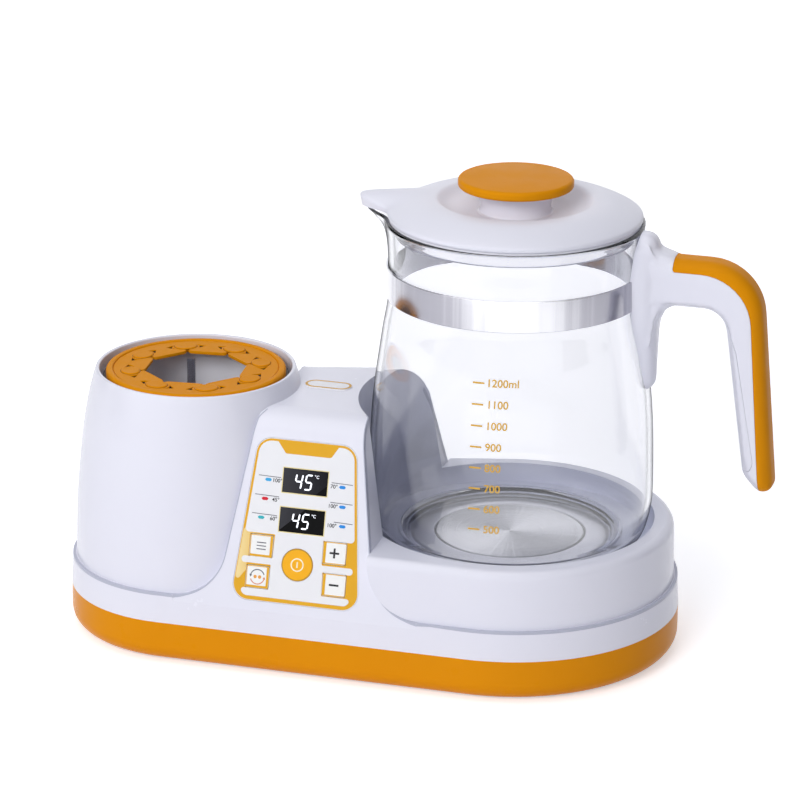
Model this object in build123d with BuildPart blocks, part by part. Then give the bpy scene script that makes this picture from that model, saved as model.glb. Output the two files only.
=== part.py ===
from build123d import *
import os
from math import asin, cos, sin, tan, radians, degrees

os.makedirs("parts", exist_ok=True)

# ---------------------------------------------------------------------------
# Driving dimensions, in millimetres.  The origin is on the table, under the
# middle of the whole length.  +X runs from the bottle well to the kettle, the
# control panel faces -Y and +Z is up.
# ---------------------------------------------------------------------------
AXIS_GAP = 138.1          # bottle well axis to kettle axis
WELL_END_R = 55.5         # base outline round the well
KETTLE_END_R = 73.9       # base outline round the kettle
FOOT_H = 0.6              # rubber feet below the tray
SEAM_Z = 19.0             # tray to housing
LEDGE_Z = 32.3            # top of the skirt
DECK_Z = 110.0            # top of the console
RIM_Z = 117.5             # top of the tower
CRADLE_Z = 58.0           # top of the kettle cradle
PLATE_Z = 48.8            # top of the heating plate
WALL = 2.4                # moulded walls
STEP = 2.3                # upper shells stand in from the skirt by this
SKIRT_DRAFT = 0.8         # skirt leans in by this at its top

PANEL_TILT = 16.8         # console face, degrees from upright
FACE_Y = -71.23           # a point of the console face
FACE_Z = 36.2
CONSOLE_ALONG = 61.4      # middle of the console, from the well axis
CONSOLE_HALF = 35.2       # half its width at the ledge
CONSOLE_LEAN = 8.8        # its sides lean in, degrees
CONSOLE_SWEEP_R = 22.0    # sweep from the ledge up the console's sides
CONSOLE_SWEEP_END = 18.92  # how far the sweep runs out along the ledge
DECK_ROUND_R = 16.0       # console face to deck

TOWER_FOOT_R = 53.1       # tower silhouette: foot, middle and top
TOWER_MID_R = 50.2
TOWER_MID_Z = 82.0
TOWER_TOP_R = 43.2
TOWER_TOP_LEAN = 19.0     # how far it leans in at the top, degrees

WELL_R = 37.5             # bottle well bore
BASKET_R = 38.9           # basket outside
CUP_R = 40.0              # warming cup outside
CUP_WALL = 0.8
DISC_R = 39.0             # grip disc
DISC_Z = 117.0            # its top
BASKET_TOP_Z = 111.0      # basket flange top

NEST_R = 62.5             # kettle nest at its floor
NEST_TOP_R = 66.0         # kettle nest at the deck
NEST_FLOOR_Z = 46.5
PLATE_R = 45.5

KETTLE_RIM_Z = 190.6
GLASS_T = 2.4
LID_R = 54.0
LID_EDGE_Z = 193.2
KNOB_R = 24.5
KNOB_Z = 208.8
HANDLE_REACH = 115.2      # kettle axis to the outside of the handle's tip

# Worked out from those.
TURN = degrees(asin((KETTLE_END_R - WELL_END_R) / AXIS_GAP))
LENGTH = WELL_END_R + AXIS_GAP * cos(radians(TURN)) + HANDLE_REACH
KX = LENGTH / 2 - HANDLE_REACH
KY = 0.0
WX = WELL_END_R - LENGTH / 2
CONSOLE_X = WX + CONSOLE_ALONG
WY = -AXIS_GAP * sin(radians(TURN))
ALONG = Vector(cos(radians(TURN)), sin(radians(TURN)))
FRONT = Vector(0, -1)
BACK = Vector(-sin(radians(2 * TURN)), cos(radians(2 * TURN)))
CENTRE_PLANE = Plane(origin=(KX, KY, 0), x_dir=(ALONG.X, ALONG.Y, 0), z_dir=(ALONG.Y, -ALONG.X, 0))
FACE_SLOPE = tan(radians(PANEL_TILT))


def save(part, name):
    """Labels a finished piece and writes it under its own name."""
    part.label = name
    export_step(part, f"parts/{name}.step")


def outline(inset):
    """Plan outline of the base: two end arcs joined by their common tangents."""
    well = Vector(WX, WY)
    kettle = Vector(KX, KY)
    rw = WELL_END_R - inset
    rk = KETTLE_END_R - inset
    with BuildSketch() as sketch:
        with BuildLine():
            Line(well + FRONT * rw, kettle + FRONT * rk)
            ThreePointArc(kettle + FRONT * rk, kettle + ALONG * rk, kettle + BACK * rk)
            Line(kettle + BACK * rk, well + BACK * rw)
            ThreePointArc(well + BACK * rw, well - ALONG * rw, well + FRONT * rw)
        make_face()
    return sketch.sketch


def drafted(z_low, inset_low, z_high, inset_high):
    """A block of the base outline between two heights, with its own inset at each."""
    with BuildPart(mode=Mode.PRIVATE) as block:
        with BuildSketch(Plane.XY.offset(z_low)):
            add(outline(inset_low))
        with BuildSketch(Plane.XY.offset(z_high)):
            add(outline(inset_high))
        loft(ruled=True)
    return block.part


def tee_block(inset):
    """Front view of the console carried through the base: leaning sides that sweep out into the ledge."""
    lean = tan(radians(CONSOLE_LEAN))
    half_low = CONSOLE_HALF - inset
    half_high = half_low - (DECK_Z - LEDGE_Z) * lean
    arm = CONSOLE_HALF * 2
    ledge = LEDGE_Z - inset
    top = DECK_Z - inset
    with BuildPart(mode=Mode.PRIVATE) as block:
        with BuildSketch(Plane(origin=(CONSOLE_X, 0, 0), x_dir=(1, 0, 0), z_dir=(0, -1, 0))) as front_view:
            with BuildLine():
                Polyline(
                    (-arm, SEAM_Z),
                    (arm, SEAM_Z),
                    (arm, ledge),
                    (half_low, ledge),
                    (half_high, top),
                    (-half_high, top),
                    (-half_low, ledge),
                    (-arm, ledge),
                    close=True,
                )
            make_face()
            corners = front_view.vertices().filter_by(lambda v: abs(abs(v.X) - half_low) < 0.01)
            fillet(corners, radius=CONSOLE_SWEEP_R + inset)
        extrude(amount=LENGTH / 2, both=True)
    return block.part


def face_y(z):
    """Where the console's front face stands at a height."""
    return FACE_Y + (z - FACE_Z) * FACE_SLOPE


def face_slab(inset):
    """Everything behind the tilted front face and under the deck, with their rounded edge."""
    in_from_face = inset / cos(radians(PANEL_TILT))
    top = DECK_Z - inset
    with BuildPart(mode=Mode.PRIVATE) as slab:
        with BuildSketch(Plane.YZ) as side_view:
            with BuildLine():
                Polyline(
                    (face_y(0) + in_from_face, 0),
                    (face_y(top) + in_from_face, top),
                    (LENGTH, top),
                    (LENGTH, 0),
                    close=True,
                )
            make_face()
            edge = side_view.vertices().group_by(Axis.Y)[-1].sort_by(Axis.X)[0]
            fillet(edge, radius=DECK_ROUND_R - inset)
        extrude(amount=LENGTH, both=True)
    return slab.part


def console_block(inset):
    """The console's form: the tee between its front face, that face's mirror image and the base outline."""
    slab = face_slab(inset)
    draft_to_deck = SKIRT_DRAFT * (DECK_Z - SEAM_Z) / (LEDGE_Z - SEAM_Z)
    hull = drafted(SEAM_Z, inset, DECK_Z, inset + draft_to_deck)
    return tee_block(inset) & slab & mirror(slab, about=CENTRE_PLANE) & hull


def upright(axis_x, axis_y):
    """The plane for half a turned profile: across is radius, up is height."""
    return Plane(origin=(axis_x, axis_y, 0), x_dir=(1, 0, 0), z_dir=(0, -1, 0))


def turned(profile, axis_x, axis_y):
    """A solid of revolution about an upright axis, from closed (radius, height) points."""
    with BuildPart(mode=Mode.PRIVATE) as solid:
        with BuildSketch(upright(axis_x, axis_y)):
            with BuildLine():
                Polyline(*profile, close=True)
            make_face()
        revolve(axis=Axis((axis_x, axis_y, 0), (0, 0, 1)))
    return solid.part


def ring(r_in, r_out, z_low, z_high, x, y):
    """A plain ring between two heights."""
    with BuildPart(mode=Mode.PRIVATE) as solid:
        with BuildSketch(Plane.XY.offset(z_low)):
            with Locations((x, y)):
                Circle(r_out)
                if r_in:
                    Circle(r_in, mode=Mode.SUBTRACT)
        extrude(amount=z_high - z_low)
    return solid.part


def tower_form(inset):
    """The tower's outer form, solid from ledge to rim, drawn in by an inset."""
    with BuildPart(mode=Mode.PRIVATE) as solid:
        with BuildSketch(upright(WX, WY)):
            with BuildLine():
                foot = (TOWER_FOOT_R - inset, LEDGE_Z)
                rim = (TOWER_TOP_R - inset, RIM_Z)
                lean_in = (-sin(radians(TOWER_TOP_LEAN)), cos(radians(TOWER_TOP_LEAN)))
                Spline(foot, (TOWER_MID_R - inset, TOWER_MID_Z), rim, tangents=((0, 1), lean_in))
                Polyline(rim, (0, RIM_Z), (0, LEDGE_Z), foot)
            make_face()
        revolve(axis=Axis((WX, WY, 0), (0, 0, 1)))
    return solid.part


def nest_cone(outset):
    """The round recess that the kettle stands in, opening slightly towards the deck."""
    above = DECK_Z + WALL
    spread = (NEST_TOP_R - NEST_R) / (DECK_Z - NEST_FLOOR_Z)
    top_r = NEST_R + (above - NEST_FLOOR_Z) * spread
    low = NEST_FLOOR_Z - WALL
    low_r = NEST_R + outset
    profile = [(0, low), (low_r, low), (low_r, NEST_FLOOR_Z), (top_r + outset, above), (0, above)]
    return turned(profile, KX, KY)


FACE = Plane(
    origin=(CONSOLE_X, FACE_Y, FACE_Z),
    x_dir=(1, 0, 0),
    z_dir=(0, -cos(radians(PANEL_TILT)), sin(radians(PANEL_TILT))),
)

# ---------------------------------------------------------------------------
# Control panel layout on the console face, from FACE's origin: across, up.
# ---------------------------------------------------------------------------
PANEL_LOW = -2.7
PANEL_HIGH = 67.0
PANEL_HALF_LOW = 28.4
PANEL_HALF_HIGH = 21.8
PANEL_CORNER_R = 7.0
PANEL_T = 0.9
WINDOW_W = 20.0
WINDOW_H = 10.6
WINDOW_UPS = (49.8, 33.1)
WINDOW_ACROSS = 0.4
KEY_W = 10.2
KEY_H = 9.5
KEY_SPOTS = {
    "function_key": (-16.5, 20.8),
    "mode_key": (-17.1, 7.5),
    "plus_key": (15.9, 21.1),
    "minus_key": (16.8, 7.6),
}
POWER_SPOT = (0.0, 14.4)
POWER_R = 6.8
LED_SPOTS = ((-15.9, 49.0), (-16.6, 41.0), (-17.4, 33.0), (17.2, 49.2), (18.0, 41.2), (18.8, 33.2))
LED_W = 3.6
LED_H = 1.7
KEY_GAP = 0.2
KEY_DEPTH = 4.6
KEYWAY_DEPTH = 3.84       # openings through the face, past its wall
BOARD_DEPTH = 10.0        # face to the front of the control board
BOARD_T = 1.6


def panel_shape(grow):
    """The control panel's rounded trapezoid."""
    with BuildSketch(FACE, mode=Mode.PRIVATE) as shape:
        with BuildLine():
            Polyline(
                (-PANEL_HALF_LOW, PANEL_LOW),
                (PANEL_HALF_LOW, PANEL_LOW),
                (PANEL_HALF_HIGH, PANEL_HIGH),
                (-PANEL_HALF_HIGH, PANEL_HIGH),
                close=True,
            )
        make_face()
        fillet(shape.vertices(), radius=PANEL_CORNER_R)
        if grow:
            offset(amount=grow)
    return shape.sketch


def panel_openings(grow):
    """Windows and keys, as one sketch on the console face: grow widens the windows and the lamps."""
    with BuildSketch(FACE, mode=Mode.PRIVATE) as shape:
        with Locations(*[(WINDOW_ACROSS, up) for up in WINDOW_UPS]):
            Rectangle(WINDOW_W + 2 * grow, WINDOW_H + 2 * grow)
        with Locations(*KEY_SPOTS.values()):
            Rectangle(KEY_W + 2 * KEY_GAP, KEY_H + 2 * KEY_GAP)
        with Locations(POWER_SPOT):
            Circle(POWER_R + KEY_GAP)
        with Locations(*LED_SPOTS):
            Rectangle(LED_W + 2 * grow, LED_H + 2 * grow)
    return shape.sketch


# ---------------------------------------------------------------------------
# Base tray: an orange tub with a big rounded lower edge and screw bosses.
# ---------------------------------------------------------------------------
TRAY_ROUND_R = 7.5
BOSS_R = 4.0
SCREW_R = 1.6
WELL_BOSSES = ((-34.4, 0.4), (-6.4, -33.6), (-10.4, 37.4))
KETTLE_BOSSES = ((-14.2, -54.0), (-14.2, 52.0), (53.8, 0.0))
BOSS_SPOTS = [(WX + x, WY + y) for x, y in WELL_BOSSES] + [(KX + x, KY + y) for x, y in KETTLE_BOSSES]
WELL_FEET = ((-20.4, -25.6), (-28.4, 24.4))
KETTLE_FEET = ((26.8, -44.0), (26.8, 44.0))
FOOT_SPOTS = [(WX + x, WY + y) for x, y in WELL_FEET] + [(KX + x, KY + y) for x, y in KETTLE_FEET]
FOOT_R = 7.0
POWER_X = WX + 55.6
POWER_Y = -8.0
POWER_L = 56.0
POWER_W = 66.0
POWER_Z = 9.0
POWER_POSTS = [(POWER_X + i * 24.0, POWER_Y + j * 29.0) for i in (-1, 1) for j in (-1, 1)]
FOOT_SINK = 1.0
SCREW_GAP = 0.2
HEAD_R = 3.2
HEAD_T = 1.6
HEAD_SINK = 2.2
SCREW_REACH = 24.0
FOOT_CHAMFER = 0.4
WIRE_WAY_R = 24.0         # opening under the tower for the wires
HEATER_WAY_R = 48.0       # opening under the heating plate
RECESS_GAP = 0.15         # round the overlay in its seat
GLAND_ALONG = 126.0       # cord gland, along the back from the well axis
GLAND_Z = 25.6
GLAND_BORE_R = 3.2
GLAND_R = 4.6
GLAND_FLANGE_R = 5.8
GLAND_FLANGE_T = 1.6
GLAND_DEPTH = 7.4
GLAND_INSET = SKIRT_DRAFT * (GLAND_Z - SEAM_Z) / (LEDGE_Z - SEAM_Z)
GLAND_SPOT = Vector(WX, WY) + BACK * (WELL_END_R - GLAND_INSET) + Vector(BACK.Y, -BACK.X) * GLAND_ALONG
GLAND_PLANE = Plane(
    origin=(GLAND_SPOT.X, GLAND_SPOT.Y, GLAND_Z),
    x_dir=(BACK.Y, -BACK.X, 0),
    z_dir=(BACK.X, BACK.Y, SKIRT_DRAFT / (LEDGE_Z - SEAM_Z)),
)


def tub(inset):
    """The tray's form: the base outline with a big rounded lower edge, drawn in by an inset."""
    with BuildPart(mode=Mode.PRIVATE) as form:
        with BuildSketch(Plane.XY.offset(FOOT_H + inset)):
            add(outline(inset))
        extrude(amount=SEAM_Z - FOOT_H - inset)
        fillet(form.faces().sort_by(Axis.Z)[0].edges(), radius=TRAY_ROUND_R - inset)
    return form.part


with BuildPart() as base_tray:
    add(tub(0))
    add(tub(WALL), mode=Mode.SUBTRACT)
    with BuildSketch(Plane.XY.offset(FOOT_H + WALL)):
        with Locations(*BOSS_SPOTS):
            Circle(BOSS_R)
    extrude(amount=SEAM_Z - FOOT_H - WALL)
    with BuildSketch(Plane.XY.offset(FOOT_H + WALL)):
        with Locations(*POWER_POSTS):
            Circle(BOSS_R)
            Circle(SCREW_R, mode=Mode.SUBTRACT)
    extrude(amount=POWER_Z - FOOT_H - WALL)
    with BuildSketch(Plane.XY):
        with Locations(*BOSS_SPOTS):
            Circle(SCREW_R + SCREW_GAP)
    extrude(amount=SEAM_Z, mode=Mode.SUBTRACT)
    with BuildSketch(Plane.XY):
        with Locations(*BOSS_SPOTS):
            Circle(HEAD_R + SCREW_GAP)
    extrude(amount=FOOT_H + HEAD_SINK, mode=Mode.SUBTRACT)
    with BuildSketch(Plane.XY):
        with Locations(*FOOT_SPOTS):
            Circle(FOOT_R)
    extrude(amount=FOOT_H + FOOT_SINK, mode=Mode.SUBTRACT)
save(base_tray.part, "base_tray")

# Four rubber feet, each seated in a shallow pocket under the tray.
with BuildPart() as rubber_feet:
    with BuildSketch(Plane.XY):
        with Locations(*FOOT_SPOTS):
            Circle(FOOT_R)
    extrude(amount=FOOT_H + FOOT_SINK)
    chamfer(rubber_feet.faces().sort_by(Axis.Z)[0].edges(), length=FOOT_CHAMFER)
save(rubber_feet.part, "rubber_feet")

# Six screws that hold the tray to the housing's bosses.
with BuildPart() as case_screws:
    with BuildSketch(Plane.XY.offset(FOOT_H + HEAD_SINK)):
        with Locations(*BOSS_SPOTS):
            Circle(SCREW_R)
    extrude(amount=SCREW_REACH)
    with BuildSketch(Plane.XY.offset(FOOT_H + HEAD_SINK - HEAD_T)):
        with Locations(*BOSS_SPOTS):
            Circle(HEAD_R)
    extrude(amount=HEAD_T)
save(case_screws.part, "case_screws")

# ---------------------------------------------------------------------------
# Housing: the white skirt and the console in one moulding.  The console's
# left flank stands a little proud of the tower, which is cut out of it, and
# its right flank is hollowed to the kettle.
# ---------------------------------------------------------------------------


def sweep_band():
    """The stretch of the skirt under the console, out to the ends of its sweeps."""
    reach = CONSOLE_HALF + CONSOLE_SWEEP_END
    with BuildPart(mode=Mode.PRIVATE) as band:
        with BuildSketch(Plane.XY):
            with Locations((CONSOLE_X, 0)):
                Rectangle(2 * reach, LENGTH)
        extrude(amount=DECK_Z)
    return band.part


slab_outer = face_slab(0)
skirt_solid = drafted(SEAM_Z, 0, LEDGE_Z, SKIRT_DRAFT)
skirt_cut = sweep_band() - (slab_outer & mirror(slab_outer, about=CENTRE_PLANE))
console_outer = console_block(0) - tower_form(0)
console_inner = console_block(WALL) - nest_cone(WALL)

with BuildPart() as housing:
    add(skirt_solid)
    add(skirt_cut, mode=Mode.SUBTRACT)
    add(console_outer)
    add(console_inner, mode=Mode.SUBTRACT)
    add(nest_cone(0), mode=Mode.SUBTRACT)
    # hollow under the ledge, open to the tray
    add(drafted(SEAM_Z, WALL, LEDGE_Z - WALL, WALL + SKIRT_DRAFT), mode=Mode.SUBTRACT)
    # openings in the ledge under the tower and the cradle
    with BuildSketch(Plane.XY.offset(SEAM_Z)):
        with Locations((WX, WY)):
            Circle(WIRE_WAY_R)
        with Locations((KX, KY)):
            Circle(HEATER_WAY_R)
    extrude(amount=LEDGE_Z - SEAM_Z + WALL, mode=Mode.SUBTRACT)
    # bosses down to the tray
    with BuildSketch(Plane.XY.offset(SEAM_Z)):
        with Locations(*BOSS_SPOTS):
            Circle(BOSS_R)
            Circle(SCREW_R, mode=Mode.SUBTRACT)
    extrude(amount=LEDGE_Z - WALL - SEAM_Z)
    # hole for the cord gland
    with BuildSketch(GLAND_PLANE):
        Circle(GLAND_R)
    extrude(amount=-GLAND_DEPTH, mode=Mode.SUBTRACT)
    # seat for the panel overlay, and its openings
    add(extrude(panel_shape(RECESS_GAP), amount=-PANEL_T, mode=Mode.PRIVATE), mode=Mode.SUBTRACT)
    add(extrude(panel_openings(KEY_GAP), amount=-KEYWAY_DEPTH, mode=Mode.PRIVATE), mode=Mode.SUBTRACT)
save(housing.part, "housing")

# ---------------------------------------------------------------------------
# Tower: a tapering shell that stands on the ledge and holds the warming cup.
# ---------------------------------------------------------------------------
SHELF_Z = 107.0           # seat of the warming cup's flange
SHELF_T = 3.0
SHELF_R = 40.3            # bore of that seat
RIM_BORE_R = 41.7         # bore above the seat, round the grip disc
RIM_ROUND_R = 0.7

tower_void = tower_form(WALL) & ring(0, TOWER_FOOT_R, LEDGE_Z, SHELF_Z - SHELF_T, WX, WY)

with BuildPart() as warmer_tower:
    add(tower_form(0))
    add(tower_void, mode=Mode.SUBTRACT)
    with BuildSketch(Plane.XY.offset(LEDGE_Z)):
        with Locations((WX, WY)):
            Circle(SHELF_R)
    extrude(amount=DECK_Z, mode=Mode.SUBTRACT)
    with BuildSketch(Plane.XY.offset(SHELF_Z)):
        with Locations((WX, WY)):
            Circle(RIM_BORE_R)
    extrude(amount=DECK_Z, mode=Mode.SUBTRACT)
    fillet(warmer_tower.edges().group_by(Axis.Z)[-1], radius=RIM_ROUND_R)
save(warmer_tower.part, "warmer_tower")

# ---------------------------------------------------------------------------
# Cradle: the low wall round the kettle's nest, with the nest's floor.
# ---------------------------------------------------------------------------
CRADLE_DRAFT = 0.7
CRADLE_ROUND_R = 4.0
PLATE_HOLE_R = 42.0       # hole in the nest's floor, under the plate's flange


def cradle_form(inset, z_top):
    """The cradle's solid form: the base outline right of the console, drawn in by an inset."""
    with BuildPart(mode=Mode.PRIVATE) as form:
        add(drafted(LEDGE_Z, STEP + inset, z_top, STEP + CRADLE_DRAFT + inset))
        split(bisect_by=Plane.YZ.offset(CONSOLE_X), keep=Keep.TOP)
    return form.part


with BuildPart() as kettle_cradle:
    add(cradle_form(0, CRADLE_Z))
    top_arcs = kettle_cradle.faces().sort_by(Axis.Z)[-1].edges().filter_by(GeomType.CIRCLE)
    fillet(top_arcs, radius=CRADLE_ROUND_R)
    add(cradle_form(WALL, NEST_FLOOR_Z - WALL), mode=Mode.SUBTRACT)
    with BuildSketch(Plane.XY.offset(NEST_FLOOR_Z - WALL)):
        with Locations((KX, KY)):
            Circle(NEST_R)
    extrude(amount=CRADLE_Z, mode=Mode.SUBTRACT)
    add(tee_block(0), mode=Mode.SUBTRACT)
    with BuildSketch(Plane.XY.offset(NEST_FLOOR_Z - WALL)):
        with Locations((KX, KY)):
            Circle(NEST_R)
            Circle(PLATE_HOLE_R, mode=Mode.SUBTRACT)
    extrude(amount=WALL)
save(kettle_cradle.part, "kettle_cradle")

# ---------------------------------------------------------------------------
# Bottle well: seal, warming cup, basket, grip disc, and the heater below.
# ---------------------------------------------------------------------------
CUP_SEAL_T = 0.8
CUP_FLANGE_T = 1.0
CUP_FLANGE_R = 41.4
CUP_FLOOR_Z = 35.0
CUP_CORNER_R = 4.0
CUP_TOP_Z = SHELF_Z + CUP_SEAL_T + CUP_FLANGE_T
BASKET_FLOOR_Z = 37.0
BASKET_FLOOR_T = 1.5
BASKET_FLANGE_R = 41.2
SLOT_COUNT = 8
SLOT_W = 3.0
SLOT_CUT = 8.0            # radial length of the cutter for a slot
SLOT_LOW_Z = 46.0
SLOT_HIGH_Z = 101.0
DRAIN_R = 3.0
DRAIN_CIRCLE_R = 20.6
SEAL_GAP = 0.1

with BuildPart() as cup_seal:
    add(ring(SHELF_R + SEAL_GAP, CUP_FLANGE_R, SHELF_Z, SHELF_Z + CUP_SEAL_T, WX, WY))
save(cup_seal.part, "cup_seal")


def pot(inset):
    """The warming cup's form with its rounded lower edge, drawn in by an inset."""
    with BuildPart(mode=Mode.PRIVATE) as form:
        add(ring(0, CUP_R - inset, CUP_FLOOR_Z + inset, CUP_TOP_Z, WX, WY))
        fillet(form.edges().group_by(Axis.Z)[0], radius=CUP_CORNER_R - inset)
    return form.part


with BuildPart() as warming_cup:
    add(pot(0))
    add(ring(0, CUP_FLANGE_R, SHELF_Z + CUP_SEAL_T, CUP_TOP_Z, WX, WY))
    add(pot(CUP_WALL), mode=Mode.SUBTRACT)
save(warming_cup.part, "warming_cup")

with BuildPart() as bottle_basket:
    add(ring(0, BASKET_R, BASKET_FLOOR_Z, BASKET_TOP_Z, WX, WY))
    fillet(bottle_basket.edges().group_by(Axis.Z)[0], radius=CUP_CORNER_R)
    add(ring(0, BASKET_FLANGE_R, CUP_TOP_Z, BASKET_TOP_Z, WX, WY))
    add(ring(0, WELL_R, BASKET_FLOOR_Z + BASKET_FLOOR_T, DECK_Z + WALL, WX, WY), mode=Mode.SUBTRACT)
    # tall slots round the wall and drain holes in the floor
    with BuildSketch(Plane.XY.offset(SLOT_LOW_Z)):
        with Locations((WX, WY)):
            with PolarLocations(BASKET_R, SLOT_COUNT, start_angle=180 / SLOT_COUNT):
                Rectangle(SLOT_CUT, SLOT_W)
    extrude(amount=SLOT_HIGH_Z - SLOT_LOW_Z, mode=Mode.SUBTRACT)
    with BuildSketch(Plane.XY.offset(BASKET_FLOOR_Z)):
        with Locations((WX, WY)):
            with PolarLocations(DRAIN_CIRCLE_R, SLOT_COUNT):
                Circle(DRAIN_R)
    extrude(amount=BASKET_FLOOR_T, mode=Mode.SUBTRACT)
save(bottle_basket.part, "bottle_basket")

DISC_T = 3.2
DISC_OPENING = 21.0       # half the width across its eight-sided opening
PETAL_SLIT_W = 1.0
PETAL_SLIT_END = 27.0
ISLAND_R = 28.6
ISLAND_ACROSS = 14.6
HOLE_SIZE = 1.7
PETALS = 8
DISC_EDGE_R = 1.0
DISC_TURN = 28.0          # slits lie this far round from +X
HOLE_TURN = degrees(ISLAND_ACROSS / 2 / ISLAND_R)

with BuildPart() as grip_disc:
    add(ring(0, DISC_R, DISC_Z - DISC_T, DISC_Z, WX, WY))
    fillet(grip_disc.edges().group_by(Axis.Z)[-1], radius=DISC_EDGE_R)
    add(ring(0, DISC_R, BASKET_TOP_Z, DISC_Z - DISC_T, WX, WY))
    add(ring(0, DISC_R - WALL, BASKET_TOP_Z, DISC_Z - DISC_T, WX, WY), mode=Mode.SUBTRACT)
    # eight-sided opening and the slits that part the petals
    with BuildSketch(Plane.XY.offset(BASKET_TOP_Z)):
        with Locations((WX, WY)):
            RegularPolygon(DISC_OPENING, PETALS, major_radius=False, rotation=DISC_TURN)
            with PolarLocations((DISC_OPENING + PETAL_SLIT_END) / 2, PETALS, start_angle=DISC_TURN):
                Rectangle(PETAL_SLIT_END - DISC_OPENING + WALL, PETAL_SLIT_W)
            # pointed through-holes at both ends of each island
            for side in (-1, 1):
                with PolarLocations(ISLAND_R, PETALS, start_angle=DISC_TURN + side * HOLE_TURN):
                    RegularPolygon(HOLE_SIZE, 3, rotation=side * 90)
    extrude(amount=DISC_Z, mode=Mode.SUBTRACT)
save(grip_disc.part, "grip_disc")

# The heater and its sensor are held against the cup's floor by a plain bracket.
BRACKET_R = 39.0
BRACKET_T = 0.7
HEATER_IN_R = 26.0
HEATER_R = 35.5
SENSOR_R = 4.0
SENSOR_H = 5.0

with BuildPart() as cup_heater_bracket:
    add(ring(WIRE_WAY_R, BRACKET_R, LEDGE_Z, LEDGE_Z + BRACKET_T, WX, WY))
save(cup_heater_bracket.part, "cup_heater_bracket")

with BuildPart() as cup_heater:
    add(ring(HEATER_IN_R, HEATER_R, LEDGE_Z + BRACKET_T, CUP_FLOOR_Z, WX, WY))
save(cup_heater.part, "cup_heater")

with BuildPart() as cup_thermistor:
    add(ring(0, SENSOR_R, CUP_FLOOR_Z - SENSOR_H, CUP_FLOOR_Z, WX, WY))
save(cup_thermistor.part, "cup_thermistor")

# ---------------------------------------------------------------------------
# Heating plate and what hangs under it.
# ---------------------------------------------------------------------------
PLATE_SEAL_T = 0.8
PLATE_T = PLATE_Z - NEST_FLOOR_Z - PLATE_SEAL_T
PLATE_EDGE_R = 0.8
PLATE_DISC_R = 33.0
PLATE_GROOVE = 0.8
SPIGOT_IN_R = 40.5        # rim under the plate that centres it in the nest
SPIGOT_R = 41.8
SPREADER_R = 39.0
SPREADER_T = 2.4
SPREADER_GAP = 0.3
ELEMENT_R = 28.0
ELEMENT_TUBE_R = 3.2
ELEMENT_ARC = 320
COLD_END_R = 2.56
COLD_END_H = 12.0

with BuildPart() as plate_seal:
    add(ring(PLATE_HOLE_R, PLATE_R, NEST_FLOOR_Z, NEST_FLOOR_Z + PLATE_SEAL_T, KX, KY))
save(plate_seal.part, "plate_seal")

with BuildPart() as heating_plate:
    add(ring(0, PLATE_R, PLATE_Z - PLATE_T, PLATE_Z, KX, KY))
    fillet(heating_plate.edges().group_by(Axis.Z)[-1], radius=PLATE_EDGE_R)
    add(
        ring(PLATE_DISC_R, PLATE_DISC_R + PLATE_GROOVE, PLATE_Z - PLATE_GROOVE / 2, PLATE_Z, KX, KY),
        mode=Mode.SUBTRACT,
    )
    add(ring(SPIGOT_IN_R, SPIGOT_R, NEST_FLOOR_Z - WALL, PLATE_Z - PLATE_T, KX, KY))
save(heating_plate.part, "heating_plate")

SPREADER_LOW = PLATE_Z - PLATE_T - SPREADER_T
with BuildPart() as heat_spreader:
    add(ring(SENSOR_R + SPREADER_GAP, SPREADER_R, SPREADER_LOW, PLATE_Z - PLATE_T, KX, KY))
save(heat_spreader.part, "heat_spreader")

with BuildPart() as heating_element:
    with BuildSketch(upright(KX, KY)):
        with Locations((ELEMENT_R, SPREADER_LOW - ELEMENT_TUBE_R)):
            Circle(ELEMENT_TUBE_R)
    revolve(axis=Axis((KX, KY, 0), (0, 0, 1)), revolution_arc=ELEMENT_ARC)
    # cold ends turned down at both ends of the ring
    with BuildSketch(Plane.XY.offset(SPREADER_LOW - ELEMENT_TUBE_R)):
        with Locations((KX, KY)):
            with PolarLocations(ELEMENT_R, 2, ELEMENT_ARC, 360 - ELEMENT_ARC, endpoint=True):
                Circle(COLD_END_R)
    extrude(amount=-COLD_END_H)
save(heating_element.part, "heating_element")

CLAMP_T = 1.5
CLAMP_W = 12.0
CLAMP_L = 104.0
CLAMP_SEAT_R = 5.2
CLAMP_SEAT_Z = LEDGE_Z + CLAMP_T + 3.0
CUTOUT_L = 14.0
CUTOUT_W = 8.0
CUTOUT_T = 6.0
CUTOUT_CORNER_R = 1.5

with BuildPart() as element_clamp:
    with BuildSketch(Plane.XY.offset(LEDGE_Z)):
        with Locations((KX, KY)):
            Rectangle(CLAMP_W, CLAMP_L)
    extrude(amount=CLAMP_T)
    add(ring(0, CLAMP_SEAT_R, LEDGE_Z + CLAMP_T, CLAMP_SEAT_Z, KX, KY))
save(element_clamp.part, "element_clamp")

with BuildPart() as plate_thermistor:
    add(ring(0, SENSOR_R, CLAMP_SEAT_Z, PLATE_Z - PLATE_T, KX, KY))
save(plate_thermistor.part, "plate_thermistor")

with BuildPart() as thermal_cutout:
    with BuildSketch(Plane.XY.offset(SPREADER_LOW - CUTOUT_T)):
        with Locations((KX, KY + CUTOUT_L)):
            Rectangle(CUTOUT_L, CUTOUT_W)
    extrude(amount=CUTOUT_T)
    fillet(thermal_cutout.edges().filter_by(Axis.Z), radius=CUTOUT_CORNER_R)
save(thermal_cutout.part, "thermal_cutout")

# ---------------------------------------------------------------------------
# Control panel: overlay, window lenses, light guides and five keys.
# ---------------------------------------------------------------------------


def behind_face(depth):
    """A plane parallel to the console face, at a depth behind it."""
    return FACE.offset(-depth)


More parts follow.
